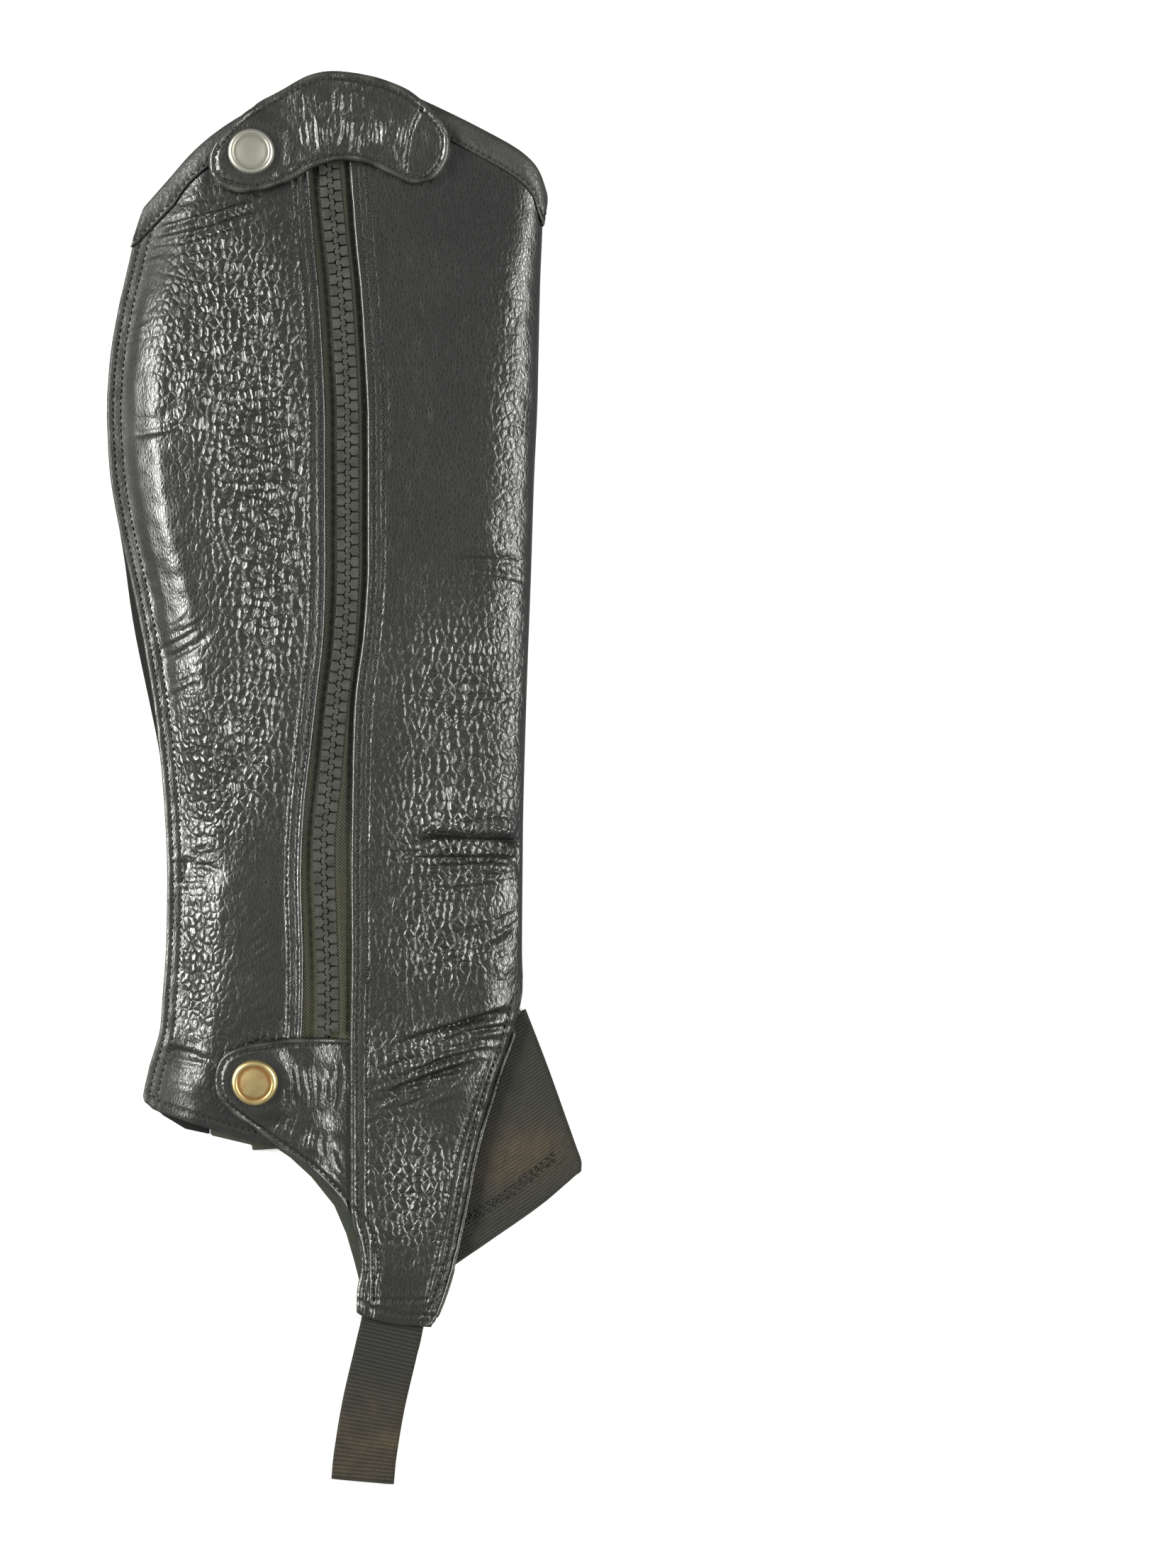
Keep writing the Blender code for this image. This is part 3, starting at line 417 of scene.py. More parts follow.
def noise(tree, place, size, detail, output="Fac"):
    return addNode(tree, "TexNoise", {}, {"Vector": place, "Scale": 1 / size, "Detail": detail}, output)


waveTurn = {"X": 0.314, "Y": 0.314, "DIAGONAL": 0.444}  # how far apart a wave's bands are at scale 1


def waves(tree, place, direction, pitch, distortion):
    inputs = {"Vector": place, "Scale": waveTurn[direction] / pitch, "Distortion": distortion}
    return addNode(tree, "TexWave", {"bands_direction": direction}, inputs, "Fac")


def worked(tree, operation, *values):  # a sum of two or three values
    return addNode(tree, "Math", {"operation": operation}, dict(enumerate(values)))


def mapped(tree, value, fromMin, fromMax, toMin, toMax):
    inputs = {"Value": value, "From Min": fromMin, "From Max": fromMax, "To Min": toMin, "To Max": toMax}
    return addNode(tree, "MapRange", {}, inputs)


def blend(tree, share, first, second, how="MIX"):
    return addNode(tree, "Mix", {"data_type": "RGBA", "blend_type": how}, {0: share, 6: first, 7: second}, 2)


def bumped(tree, height, strength, distance):
    return addNode(tree, "Bump", {}, {"Height": height, "Strength": strength, "Distance": distance})


def newMaterial(name, roughness, metallic=0.0, ior=1.5):
    material = bpy.data.materials.new(name)
    material.use_nodes = True
    tree = material.node_tree
    shader = tree.nodes["Principled BSDF"]
    setInputs(tree, shader, {"Roughness": roughness, "Metallic": metallic, "IOR": ior})
    return material, tree, shader


def matteWhitePaper():  # rough uncoated paper on a light table: bright, with no gloss and faint shadows
    material, tree, shader = newMaterial("matt white paper", 0.9)
    setInputs(tree, shader, {"Base Color": srgb("#f4f4f2"), "Emission Color": srgb("#ffffff"),
                             "Emission Strength": 0.35})
    return material


finishWith(floor, matteWhitePaper())


def pebbledCowhide():
    # Drum-dyed, pigmented cowhide with a pressed grain: glossy pillows between dull cracks darkened with
    # painted shade.
    # The pillows are 2.7 mm where the leg stretched it (attribute pebble) and 1.2 mm elsewhere.
    # An attribute pales rubbed edges, and on the top band's roll it is partly a painted highlight; dust lays a
    # grey-green bloom, and matt takes away the polish.
    material, tree, shader = newMaterial("pebbled cowhide", 0.34)
    place = objectPlace(tree)
    pebble, wear, dust, matt = (attribute(tree, name) for name in ("pebble", "wear", "dust", "matt"))
    drift = noise(tree, place, 0.005, 2.0, "Color")
    pushed = addNode(tree, "VectorMath", {"operation": "SCALE"}, {0: drift, "Scale": 0.0014})
    warped = addNode(tree, "VectorMath", {"operation": "ADD"}, {0: place, 1: pushed})
    pillows = []
    for size, height in ((0.0027, 0.8), (0.0012, 0.6)):
        tall = addNode(tree, "Mapping", {}, {"Vector": warped, "Scale": (1.0, height, 1.0)})
        cell = addNode(tree, "TexVoronoi", {"feature": "DISTANCE_TO_EDGE"},
                       {"Vector": tall, "Scale": 1 / size}, "Distance")
        hollow = worked(tree, "POWER", mapped(tree, cell, 0.0, 0.45, 1.0, 0.0), 2.0)
        pillows.append(worked(tree, "SUBTRACT", 1.0, hollow))
    fine = worked(tree, "MULTIPLY", pillows[1], 0.065)
    mixed = worked(tree, "MULTIPLY_ADD", pillows[1], 0.05, pillows[0])
    grain = addNode(tree, "Mix", {}, {0: pebble, 2: fine, 3: mixed})
    crack = addNode(tree, "Mix", {}, {0: pebble, 2: pillows[1], 3: pillows[0]})
    tiny = noise(tree, place, 0.0007, 3.0)
    bump = bumped(tree, worked(tree, "MULTIPLY_ADD", tiny, 0.02, grain), 1.0, 0.0008)
    cloud = noise(tree, place, 0.035, 4.0)
    base = blend(tree, cloud, srgb("#141513"), srgb("#1e201c"))
    # painted shade: the colour is darkened to half in the grain's cracks
    shaded = blend(tree, 1.0, base, mapped(tree, crack, 0.0, 0.6, 0.5, 1.0), "MULTIPLY")
    veil = worked(tree, "MULTIPLY", worked(tree, "MULTIPLY", tiny, dust), 0.3)
    dusted = blend(tree, veil, shaded, srgb("#42453b"))
    # paler on rubbed edges, and on the top band's roll partly a painted highlight
    worn = blend(tree, wear, dusted, srgb("#4c4e45"))
    patchy = worked(tree, "MULTIPLY_ADD", cloud, 0.08, mapped(tree, crack, 0.0, 1.0, 0.42, 0.17))
    dulled = worked(tree, "MULTIPLY_ADD", matt, 0.34, patchy)
    polish = mapped(tree, matt, 0.0, 1.0, 0.25, 0.0)
    setInputs(tree, shader, {"Base Color": worn, "Roughness": dulled, "Normal": bump,
                             "Specular IOR Level": 0.9, "Coat Weight": polish, "Coat Roughness": 0.2,
                             "Coat Normal": bump})
    return material


def suedeSide():  # the hide's split inner side and cut edges: napped, dull and grey-green
    material, tree, shader = newMaterial("split suede", 0.85)
    nap = noise(tree, objectPlace(tree), 0.0012, 5.0)
    shade = blend(tree, nap, srgb("#24261f"), srgb("#454a3c"))
    setInputs(tree, shader, {"Base Color": shade, "Normal": bumped(tree, nap, 0.6, 0.0002),
                             "Sheen Weight": 0.3})
    return material


cowhide = pebbledCowhide()
suede = suedeSide()
print("leather materials are made")

# single creases: from x, y to x, y, how far the middle bows, width, depth
creases = [
    (-80.0, 129.0, -55.0, 133.0, -2.0, 1.3, 0.7),
    (-55.0, 133.0, -43.0, 160.0, 5.0, 1.2, 0.6),
    (-68.0, 45.0, -45.0, 58.0, -2.0, 1.3, 0.45),
    (-66.0, 30.0, -50.0, 36.0, 1.0, 1.0, 0.4),
    (-66.0, -31.0, -44.0, -34.0, 1.5, 1.1, 0.6),
    (-64.0, -38.0, -48.0, -37.0, 1.0, 0.9, 0.4),
    (-70.0, -100.0, -46.0, -105.0, 1.0, 1.3, 0.8),
    (-74.0, 203.0, -26.0, 215.0, -2.5, 1.2, 1.0),
    (-73.0, 206.5, -34.0, 216.5, -1.5, 1.0, 0.8),
    (-74.0, 199.5, -34.0, 208.0, -2.5, 1.0, 0.7),
    (52.0, 202.0, 70.0, 205.0, 0.5, 0.7, 0.3),
    (46.0, 205.0, 60.0, 209.0, 0.3, 0.7, 0.3),
    (67.5, -23.8, 25.0, -22.8, 0.6, 3.8, 3.8),
    (68.5, -26.8, 12.0, -26.0, 1.0, 0.9, 0.9),
    (68.5, -28.8, 14.0, -29.5, 0.6, 0.9, 0.9),
    (68.5, -30.8, 18.0, -32.5, -0.6, 0.9, 0.8),
    (68.5, -33.0, 20.0, -36.0, 1.5, 0.8, 0.7),
    (68.0, -35.0, 26.0, -39.5, 2.0, 0.8, 0.6),
    (68.0, -27.6, 30.0, -24.5, 0.6, 0.7, 0.5),
    (66.0, -52.0, 40.0, -64.0, 1.0, 0.9, 0.6),
    (67.0, -47.0, 44.0, -56.0, 1.0, 0.9, 0.5),
    (67.0, -52.0, 20.0, -72.0, 3.0, 1.3, 0.7),
    (66.0, -58.0, 38.0, -67.0, 2.0, 1.1, 0.5),
    (70.0, 80.0, 38.0, 81.0, -1.5, 1.3, 0.5),
    (70.0, 73.0, 44.0, 77.0, -1.5, 1.1, 0.4),
    (69.0, 32.0, 14.0, 33.0, 2.0, 1.3, 0.5),
    (69.0, 24.0, 24.0, 27.0, 2.0, 1.1, 0.4),
    (69.0, 5.0, 30.0, 8.0, -2.0, 1.2, 0.4),
    (67.0, -85.0, 14.0, -100.5, -1.5, 1.4, 1.3),
    (65.0, -90.5, 22.0, -101.0, -1.5, 1.0, 0.8),
    (62.0, -95.5, 12.0, -108.5, -2.0, 1.2, 1.1),
    (58.0, -99.5, 24.0, -109.0, -1.5, 1.0, 0.8),
    (52.0, -104.5, 7.0, -121.5, -2.0, 1.4, 1.3),
    (46.0, -110.5, 14.0, -121.5, -1.0, 1.0, 0.7),
]

# groups of fine wrinkles: where their middles lie (x, y to x, y), count, their angle at each end,
# length, width, depth
fans = [
    (40.0, -25.0, 42.0, -42.0, 9, 2, 8, 44.0, 0.8, 0.45),
    (44.0, -89.0, 26.0, -122.0, 24, 17, 22, 38.0, 0.9, 0.75),
    (20.0, -104.0, 12.0, -128.0, 10, 25, 30, 16.0, 0.8, 0.45),
    (44.0, -52.0, 32.0, -78.0, 12, 14, 24, 26.0, 0.8, 0.3),
    (50.0, 84.0, 52.0, 70.0, 7, -3, 6, 24.0, 0.8, 0.28),
    (44.0, 38.0, 46.0, 18.0, 9, -2, 6, 32.0, 0.8, 0.26),
    (14.0, 62.0, 13.0, 10.0, 22, 38, 30, 12.0, 0.8, 0.24),
    (55.0, -2.0, 56.0, -18.0, 7, 0, 4, 20.0, 0.8, 0.25),
    (-55.0, 213.0, -60.0, 196.0, 10, 20, 6, 34.0, 0.9, 0.6),
    (-76.0, 176.0, -78.0, 164.0, 6, 2, 6, 15.0, 0.8, 0.26),
    (-66.0, 140.0, -68.0, 122.0, 8, 12, 8, 18.0, 0.8, 0.16),
    (-45.0, 150.0, -38.0, 128.0, 7, 75, 60, 12.0, 0.8, 0.26),
    (-58.0, 62.0, -60.0, 38.0, 9, 30, 18, 18.0, 0.8, 0.28),
    (-38.0, 40.0, -30.0, 6.0, 14, 42, 50, 13.0, 0.8, 0.26),
    (-55.0, -18.0, -55.0, -44.0, 10, 4, -4, 20.0, 0.8, 0.3),
    (-30.0, -50.0, -30.0, -84.0, 12, 40, 30, 12.0, 0.8, 0.24),
    (-60.0, -94.0, -60.0, -112.0, 8, -6, -12, 20.0, 0.8, 0.32),
    (24.0, -140.0, 22.0, -172.0, 12, 12, 2, 15.0, 0.8, 0.24),
]


def scattered(groups, seed):  # the single wrinkles of groups of them
    chance = np.random.default_rng(seed)
    rows = []
    for x0, y0, x1, y1, count, angle0, angle1, length, width, depth in groups:
        for k in range(count):
            share = (k + chance.uniform(-0.35, 0.35)) / max(1, count - 1)
            angle = math.radians(angle0 + (angle1 - angle0) * share + chance.normal(0, 3.5))
            half = 0.5 * length * chance.uniform(0.45, 1.1)
            slide = length * chance.uniform(-0.18, 0.18)
            x = x0 + (x1 - x0) * share + slide * math.cos(angle)
            y = y0 + (y1 - y0) * share + slide * math.sin(angle)
            rows.append((x + half * math.cos(angle), y + half * math.sin(angle), x - half * math.cos(angle),
                         y - half * math.sin(angle), chance.normal(0, 0.05) * length,
                         width * chance.uniform(0.7, 1.2), depth * chance.uniform(0.4, 1.15)))
    return rows


def creaseRelief(x, y, rows):  # soft troughs with raised lips, in metres
    total = np.zeros(np.shape(x))
    for x0, y0, x1, y1, bow, width, depth in rows:
        runX, runY = (x1 - x0) * mm, (y1 - y0) * mm
        length = math.hypot(runX, runY)
        reach = length / 2 + 6 * mm
        close = np.hypot(x - (x0 + x1) / 2 * mm, y - (y0 + y1) / 2 * mm) < reach
        dx, dy = x[close] - x0 * mm, y[close] - y0 * mm
        share = (dx * runX + dy * runY) / length**2
        side = (dx * runY - dy * runX) / length + bow * mm * 4 * share * (1 - share)
        wide = width * mm
        lips = hill(side - 1.9 * wide, wide) + hill(side + 1.9 * wide, wide)
        shape = 0.5 * lips - hill(side, 0.8 * wide)
        total[close] += depth * mm * shape * ease(share / 0.25) * ease((1 - share) / 0.3)
    return total


wrinkles = creases + scattered(fans, 7)


def puckers(spot, reach, pitch, seed):  # how far a seam gathers at each place along it, from -1 to 1
    knots = np.arange(0, reach, pitch * mm)
    return np.interp(spot, knots, np.random.default_rng(seed).uniform(-1, 1, len(knots)))


def seamRelief(away, spot, lines, seed):  # stitched grooves beside an edge, with puckers between them
    total = -0.45 * mm * hill(away, 0.6 * mm)
    pucker = puckers(spot, 0.6, 1.25, seed)
    for line in lines:
        total -= 0.42 * mm * hill(away - line * mm, 0.5 * mm)
        side = line * mm - 1.15 * mm
        total += (0.24 + 0.14 * pucker) * mm * hill(away - side, 0.65 * mm)
    return total + (0.20 - 0.16 * pucker) * mm * hill(away - (lines[-1] + 1.25) * mm, 0.75 * mm)


def patchOf(x, y, spots):  # soft blotches: middle x, y, half width, half height, strength
    total = np.zeros(np.shape(x))
    for middleX, middleY, halfX, halfY, strength in spots:
        total += strength * np.exp(-((x / mm - middleX) / halfX) ** 2 - ((y / mm - middleY) / halfY) ** 2)
    return np.clip(total, 0.0, 1.0)


# where the leather is pebbled, dusty and dull, as patchOf reads it
pebbleSpots = [(-31.0, 120.0, 20.0, 48.0, 1.1), (-40.0, 190.0, 22.0, 26.0, 0.5),
               (-26.0, 60.0, 14.0, 30.0, 0.6), (-44.0, 8.0, 22.0, 28.0, 0.9), (-58.0, 165.0, 12.0, 34.0, 0.5),
               (-54.0, -66.0, 14.0, 26.0, 0.55), (40.0, 30.0, 26.0, 40.0, 0.5), (36.0, -60.0, 24.0, 24.0, 0.55),
               (26.0, -150.0, 14.0, 26.0, 0.8), (60.0, 130.0, 8.0, 70.0, 0.3), (-20.0, -112.0, 26.0, 22.0, 0.5),
               (44.0, -18.0, 30.0, 20.0, 0.5), (30.0, -100.0, 30.0, 12.0, 0.4)]
dustSpots = [(-34.0, 100.0, 34.0, 70.0, 0.7), (-40.0, 0.0, 34.0, 50.0, 0.8), (40.0, -110.0, 30.0, 30.0, 0.7),
             (40.0, 20.0, 34.0, 60.0, 0.6), (30.0, -160.0, 30.0, 30.0, 0.7), (-40.0, -90.0, 40.0, 50.0, 0.7)]
mattSpots = [(-72.0, 196.0, 14.0, 22.0, 1.0), (-84.0, 150.0, 6.0, 60.0, 0.9), (-82.0, 60.0, 7.0, 70.0, 0.8),
             (-70.0, -112.0, 12.0, 14.0, 0.8), (-70.0, -60.0, 5.0, 60.0, 0.7)]

# how far from an edge relief starts, and over what width it grows
growth = {"top": (8.0, 4.0), "zip": (3.0, 8.0), "pebble": (4.5, 3.0)}


def grown(away, edge):
    start, width = growth[edge]
    return ease((away - start * mm) / (width * mm))


calf = {"columns": 100, "rows": 432, "flat": (0.095, 0.395), "area": 0.033, "seamLines": (2.2, 5.3),
        "zipLines": (2.2, 5.8), "hemLines": (3.7,), "swell": 0.35}


def calfWays():
    topPoints = topEdge(-74.4, -14.8)
    seam = [calfHem[0]] + calfSeamFoot + bodySeam("calf") + [topPoints[0]]
    zipEdge = [calfHem[-1], (-16.6, -110.0), (-14.9, -94.0)] + bodySeam("zipCalf") + [topPoints[-1]]
    return route(seam), route(zipEdge), route(calfHem), route(topPoints)


def leatherLayers(places, edges):  # what the leather's material reads at each point
    x, y = places[..., 0], places[..., 1]
    wear = 0.5 * sum(hill(edge, 0.7 * mm) for edge in edges) * (0.5 + 0.5 * uneven(x, y, 9.0, 3))
    pebble = patchOf(x, y, pebbleSpots) * grown(np.minimum.reduce(edges), "pebble")
    return {"pebble": pebble, "wear": np.clip(wear, 0, 1), "dust": patchOf(x, y, dustSpots),
            "matt": patchOf(x, y, mattSpots)}


def makeCalf():
    ways = calfWays()
    plan = patch(*ways, np.linspace(0, 1, calf["columns"]), np.linspace(0, 1, calf["rows"]))
    x, y = plan[..., 0], plan[..., 1]
    grid = np.dstack([plan, leatherTop(x, y)])
    (seam, seamSpot), (zipSide, zipSpot), (hem, hemSpot), (top, _) = (nearWay(plan, way) for way in ways)
    relief = creaseRelief(x, y, wrinkles)
    relief += calf["swell"] * mm * uneven(x, y, 34.0, 11) * ease(seam / (14 * mm))
    relief += 0.1 * mm * uneven(x, y, 7.0, 12)
    relief *= grown(zipSide, "zip") * 0.8 + 0.2
    relief += 0.4 * seamRelief(seam, seamSpot, calf["seamLines"], 21)
    relief += seamRelief(zipSide, zipSpot, calf["zipLines"], 22)
    relief += seamRelief(hem, hemSpot, calf["hemLines"], 23) * (seam > 1 * mm)
    relief *= grown(top, "top")
    grid += gridNormals(grid) * relief[..., None]
    mesh = gridMesh("calf_leather", grid, **leatherLayers(plan, (seam, zipSide, hem)))
    piece = addPiece("calf_leather", mesh, "leather", "calf_panel")
    finishWith(piece, cowhide, suede)
    surface = thicken(piece, wall["leather"], 1)
    return grid, surface


shin = {"flatColumns": 54, "rollColumns": 26, "underColumns": 12, "rows": 478, "flat": (0.095, 0.465),
        "area": 0.0345, "zipLines": (2.3, 6.0), "edgeLines": (3.2,), "footLines": (4.4,), "swell": 0.3,
        "tongueLines": ([(54.0, -104.0), (48.2, -121.4), (41.6, -142.6), (36.8, -169.0), (31.0, -193.0)],
                        [(3.7, -158.5), (9.8, -166.4), (10.9, -185.0), (11.4, -193.0)],
                        [(11.4, -193.0), (31.0, -193.0)])}


def shinZipEdge():
    return route(shinEdgeFoot + bodySeam("zipShin")[1:] + [topEdge(0.0, 74.3)[0]])


def makeShin():
    topPoints = topEdge(0.0, 74.3)
    zipEdge = shinZipEdge()
    sideHeights = np.array([-63, -35, -10, 32, 75, 112, 138, 160, 186, 205.0])
    sideX = flow(sections[0], sections[2], sideHeights * mm) / mm
    rim = route(tongueEdge + list(zip(sideX, sideHeights)) + [topPoints[-1]])
    turns = np.radians(np.linspace(0, 90, shin["rollColumns"] + 1)[1:])
    across = np.concatenate([np.linspace(0, 0.68, shin["flatColumns"]), 0.68 + 0.32 * np.sin(turns)])
    plan = patch(zipEdge, rim, route(tongueEnd), route(topPoints), across, np.linspace(0, 1, shin["rows"]))
    x, y = plan[..., 0], plan[..., 1]
    front = np.dstack([plan, leatherTop(x, y)])
    zipSide, zipSpot = nearWay(plan, zipEdge)
    top, _ = nearWay(plan, route(topPoints))
    side, sideSpot = nearWay(plan, route(tongueEdge))
    foot, footSpot = nearWay(plan, route(tongueEnd))
    relief = creaseRelief(x, y, wrinkles) + shin["swell"] * mm * uneven(x, y, 30.0, 31)
    relief += 0.08 * mm * uneven(x, y, 6.0, 32)
    relief *= grown(zipSide, "zip") * 0.8 + 0.2
    relief += seamRelief(zipSide, zipSpot, shin["zipLines"], 33)
    relief += seamRelief(side, sideSpot, shin["edgeLines"], 34) * ease((-82 * mm - y) / (6 * mm))
    relief += seamRelief(foot, footSpot, shin["footLines"], 35)
    for line in shin["tongueLines"]:
        away, _ = nearWay(plan, route(line))
        relief += 0.25 * mm * hill(away - 1.3 * mm, 0.8 * mm) - 0.5 * mm * hill(away, 0.6 * mm)
    relief *= grown(top, "top")
    rimSide, _ = nearWay(plan, rim)
    relief *= 1 - hill(rimSide, 1.6 * mm) * ease((y - foldUnder["apexY"]) / (6 * mm) + 1.3)
    corner = np.hypot(x - tongueEnd[-1][0] * mm, y - tongueEnd[-1][1] * mm)
    relief *= ease((corner - 0.5 * mm) / (4 * mm))
    angles = np.linspace(0, math.pi / 2, shin["underColumns"] + 1)[1:]
    under = []
    for row in front:
        endX, endZ = row[-1, 0], row[-1, 2]
        turned = endX - foldUnder["reach"] * (1 - np.cos(angles))
        xs = np.append(turned, endX - foldUnder["reach"] - foldUnder["strip"])
        zs = np.append(endZ * (1 - np.sin(angles)), 0.0)
        under.append(np.stack([xs, np.interp(xs, row[:, 0], row[:, 1]), zs], axis=-1))
    grid = np.concatenate([front, np.array(under)], axis=1)
    fade = np.append(np.cos(angles), 0.0)
    relief = np.concatenate([relief, relief[:, -1:] * fade], axis=1)
    keep = np.ones(grid.shape[:2], bool)
    keep[:, front.shape[1]:] = (front[:, -1, 1] > foldUnder["apexY"])[:, None]
    grid += gridNormals(grid) * relief[..., None]
    edges = [np.concatenate([edge, np.repeat(edge[:, -1:], len(angles) + 1, axis=1)], axis=1)
             for edge in (zipSide, side + 1.0 * (y > foldUnder["apexY"]), foot)]
    mesh = gridMesh("shin_leather", grid, keep, **leatherLayers(grid[..., :2], edges))
    piece = addPiece("shin_leather", mesh, "leather", "shin_panel")
    finishWith(piece, cowhide, suede)
    surface = thicken(piece, wall["leather"], 1)
    return grid, surface


calfGrid, calfSurface = makeCalf()
shinGrid, shinSurface = makeShin()
print("calf and shin panels are made")

# the top band's section: down the leg from the panel's edge, and out from the panel's outer side
# polish: how strongly the band's roll is paled, partly as wear and partly as a painted highlight
band = {"seam": 7.0, "polish": 0.5,
        "profile": [(8.3, 0.6), (8.1, 1.05), (7.6, 1.3), (7.0, 1.1), (6.4, 1.4), (5.4, 1.75), (3.8, 1.9),
                    (2.2, 1.85), (1.0, 1.65), (0.0, 1.35), (-1.1, 0.75), (-1.75, -0.4), (-1.6, -1.5),
                    (-0.7, -2.3)]}


def makeBand(name, node, grid, columns, seed):
    grid = grid[-60:, columns]
    normals = gridNormals(grid)
    edge, normal = grid[-1], normals[-1]
    up = grid[-1] - grid[-2]
    up /= np.linalg.norm(up, axis=-1, keepdims=True)
    run = np.gradient(edge, axis=0)
    lengths = np.concatenate([[0.0], np.cumsum(np.linalg.norm(np.diff(edge, axis=0), axis=1))])
    run /= np.linalg.norm(run, axis=-1, keepdims=True)
    square = np.clip(np.linalg.norm(np.cross(run, up), axis=-1), 0.55, 1.0)
    pucker = puckers(lengths, 0.12, 1.2, seed)
    rows = []
    for down, out in band["profile"]:
        out = out + 0.14 * pucker * math.exp(-((down - 6.0) / 1.6) ** 2)
        if down <= 0:
            rows.append(edge - up * down * mm + normal * np.reshape(out, (-1, 1)) * mm)
            continue
        line = []
        for j in range(grid.shape[1]):
            column, leans = grid[::-1, j], normals[::-1, j]
            spot = np.concatenate([[0.0], np.cumsum(np.linalg.norm(np.diff(column, axis=0), axis=1))])
            place = [np.interp(down * mm / square[j], spot, column[:, k]) for k in range(3)]
            lean = [np.interp(down * mm / square[j], spot, leans[:, k]) for k in range(3)]
            line.append(np.array(place) + np.array(lean) * out[j] * mm)
        rows.append(np.array(line))
    made = np.array(rows)
    made[..., 2] = np.maximum(made[..., 2], 0.3 * mm)
    x, y = made[..., 0], made[..., 1]
    downs = np.array([down for down, _ in band["profile"]])[:, None]
    # the roll's crown is paled: partly rubbed wear, partly a painted highlight
    wear = np.clip(0.55 * (0.5 + 0.5 * uneven(x, y, 12.0, seed)) * hill(downs - 1.0, 2.5), 0, 1)
    mesh = gridMesh(name, made, pebble=0.1 + 0 * x, wear=wear * band["polish"], dust=0.4 + 0 * x,
                    matt=0.6 + 0 * x)
    piece = addPiece(name, mesh, "leather", node)
    finishWith(piece, cowhide, suede)
    applyModifier(piece, "SUBSURF", levels=1, render_levels=1)
    surface = thicken(piece, wall["binding"], 1)
    seamRow = [row for row, (down, out) in enumerate(band["profile"]) if down == band["seam"]][0]
    return surface, measured(made[seamRow, :, :2])


calfBandSurface, calfBandSeam = makeBand("calf_band", "calf_binding", calfGrid, slice(None), 41)
shinColumns = slice(0, shin["flatColumns"] + shin["rollColumns"] + 5)
shinBandSurface, shinBandSeam = makeBand("shin_band", "shin_binding", shinGrid, shinColumns, 42)
print("top band is made")


def around(height, centre):  # the height at a snap's middle, and a step from it each way along X and Y
    step = snaps["step"]
    return [float(height(np.array(centre[0] + a), np.array(centre[1] + b)))
            for a, b in ((0, 0), (step, 0), (-step, 0), (0, step), (0, -step))]


def flattened(height, x, y, centre):  # a tab, pressed flat where its snap grips it
    away = np.hypot(x - centre[0], y - centre[1])
    step = snaps["step"]
    at = around(height, centre)
    plane = (at[0] + snaps["standoff"] + (at[1] - at[2]) / (2 * step) * (x - centre[0])
             + (at[3] - at[4]) / (2 * step) * (y - centre[1]))
    return plane + (height(x, y) - plane) * ease((away - snaps["radius"] - snaps["flat"]) / snaps["blend"])


def topTabHeight(x, y):  # over the band near the top edge, and arched over the zip
    line, _ = outlineWay
    edgeY = np.interp(x, line[:, 0], line[:, 1])
    onBand = 1.9 * mm * ease((26 * mm - (edgeY - y)) / (22 * mm))
    arch = 2.3 * mm * hill(x - zipMiddle(y), 11 * mm)
    return leatherTop(x, y, False) + wall["seamGap"] + wall["tab"] + onBand + arch


def heelTabHeight(x, y):  # over the calf panel at its tip, under the shin panel at its seam
    clear = wall["leather"] + wall["seamGap"]
    return leatherTop(x, y, False) + clear * (1.0 - 2.0 * ease((x + 13 * mm) / (15 * mm)))


topTab = {"left": [(-45.4, 219.9), (-49.0, 225.0), (-49.2, 231.5), (-46.2, 237.0)],
          "right": [(34.0, 222.3), (39.3, 230.0), (39.5, 240.0), (31.6, 250.2)],
          "lower": [(-45.4, 219.9), (-37.5, 217.2), (-30.0, 218.0), (-20.0, 221.4), (-12.3, 225.6),
                    (-2.0, 229.0), (8.5, 228.4), (18.0, 224.2), (26.0, 220.8), (34.0, 222.3)],
          "upper": [(-46.2, 237.0), (-41.0, 242.6), (-33.5, 249.4), *topOutline[4:8], (24.0, 256.0),
                    (31.6, 250.2)],
          "sewn": [(29.7, 248.5), (26.2, 241.7), (24.1, 232.4), (23.6, 225.5)],
          "fans": [(-16.0, 241.0, 24.0, 239.0, 30, 98, 80, 17.0, 0.85, 0.5),
                   (-14.0, 250.0, 10.0, 252.0, 14, 96, 84, 9.0, 0.8, 0.4),
                   (-44.0, 224.0, -20.0, 224.0, 9, 150, 175, 10.0, 0.7, 0.3)],
          "stitchIn": 2.8, "columns": 124, "rows": 50, "flat": (0.092, 0.048), "area": 0.0031}
heelTab = {"left": [(-45.3, -119.4), (-47.8, -111.5), (-45.6, -103.0)],
           "right": [(3.6, -165.0), (7.2, -152.0), (7.4, -120.0), (7.4, -95.6)],
           "lower": [(-45.3, -119.4), (-38.6, -125.4), (-22.8, -136.9), (-11.6, -145.0), (-1.8, -155.8),
                     (3.6, -165.0)],
           "upper": [(-45.6, -103.0), (-41.5, -99.6), (-32.0, -96.6), (-14.0, -95.0), (7.4, -95.6)],
           "fans": [(-22.0, -112.0, 0.0, -114.0, 18, 100, 84, 18.0, 0.8, 0.42),
                    (-26.0, -124.0, -2.0, -140.0, 16, 60, 96, 13.0, 0.8, 0.36),
                    (-42.0, -112.0, -38.0, -121.0, 5, 120, 60, 7.0, 0.7, 0.3)],
           "stitchIn": 2.4, "columns": 84, "rows": 92, "flat": (0.056, 0.072), "area": 0.0026}


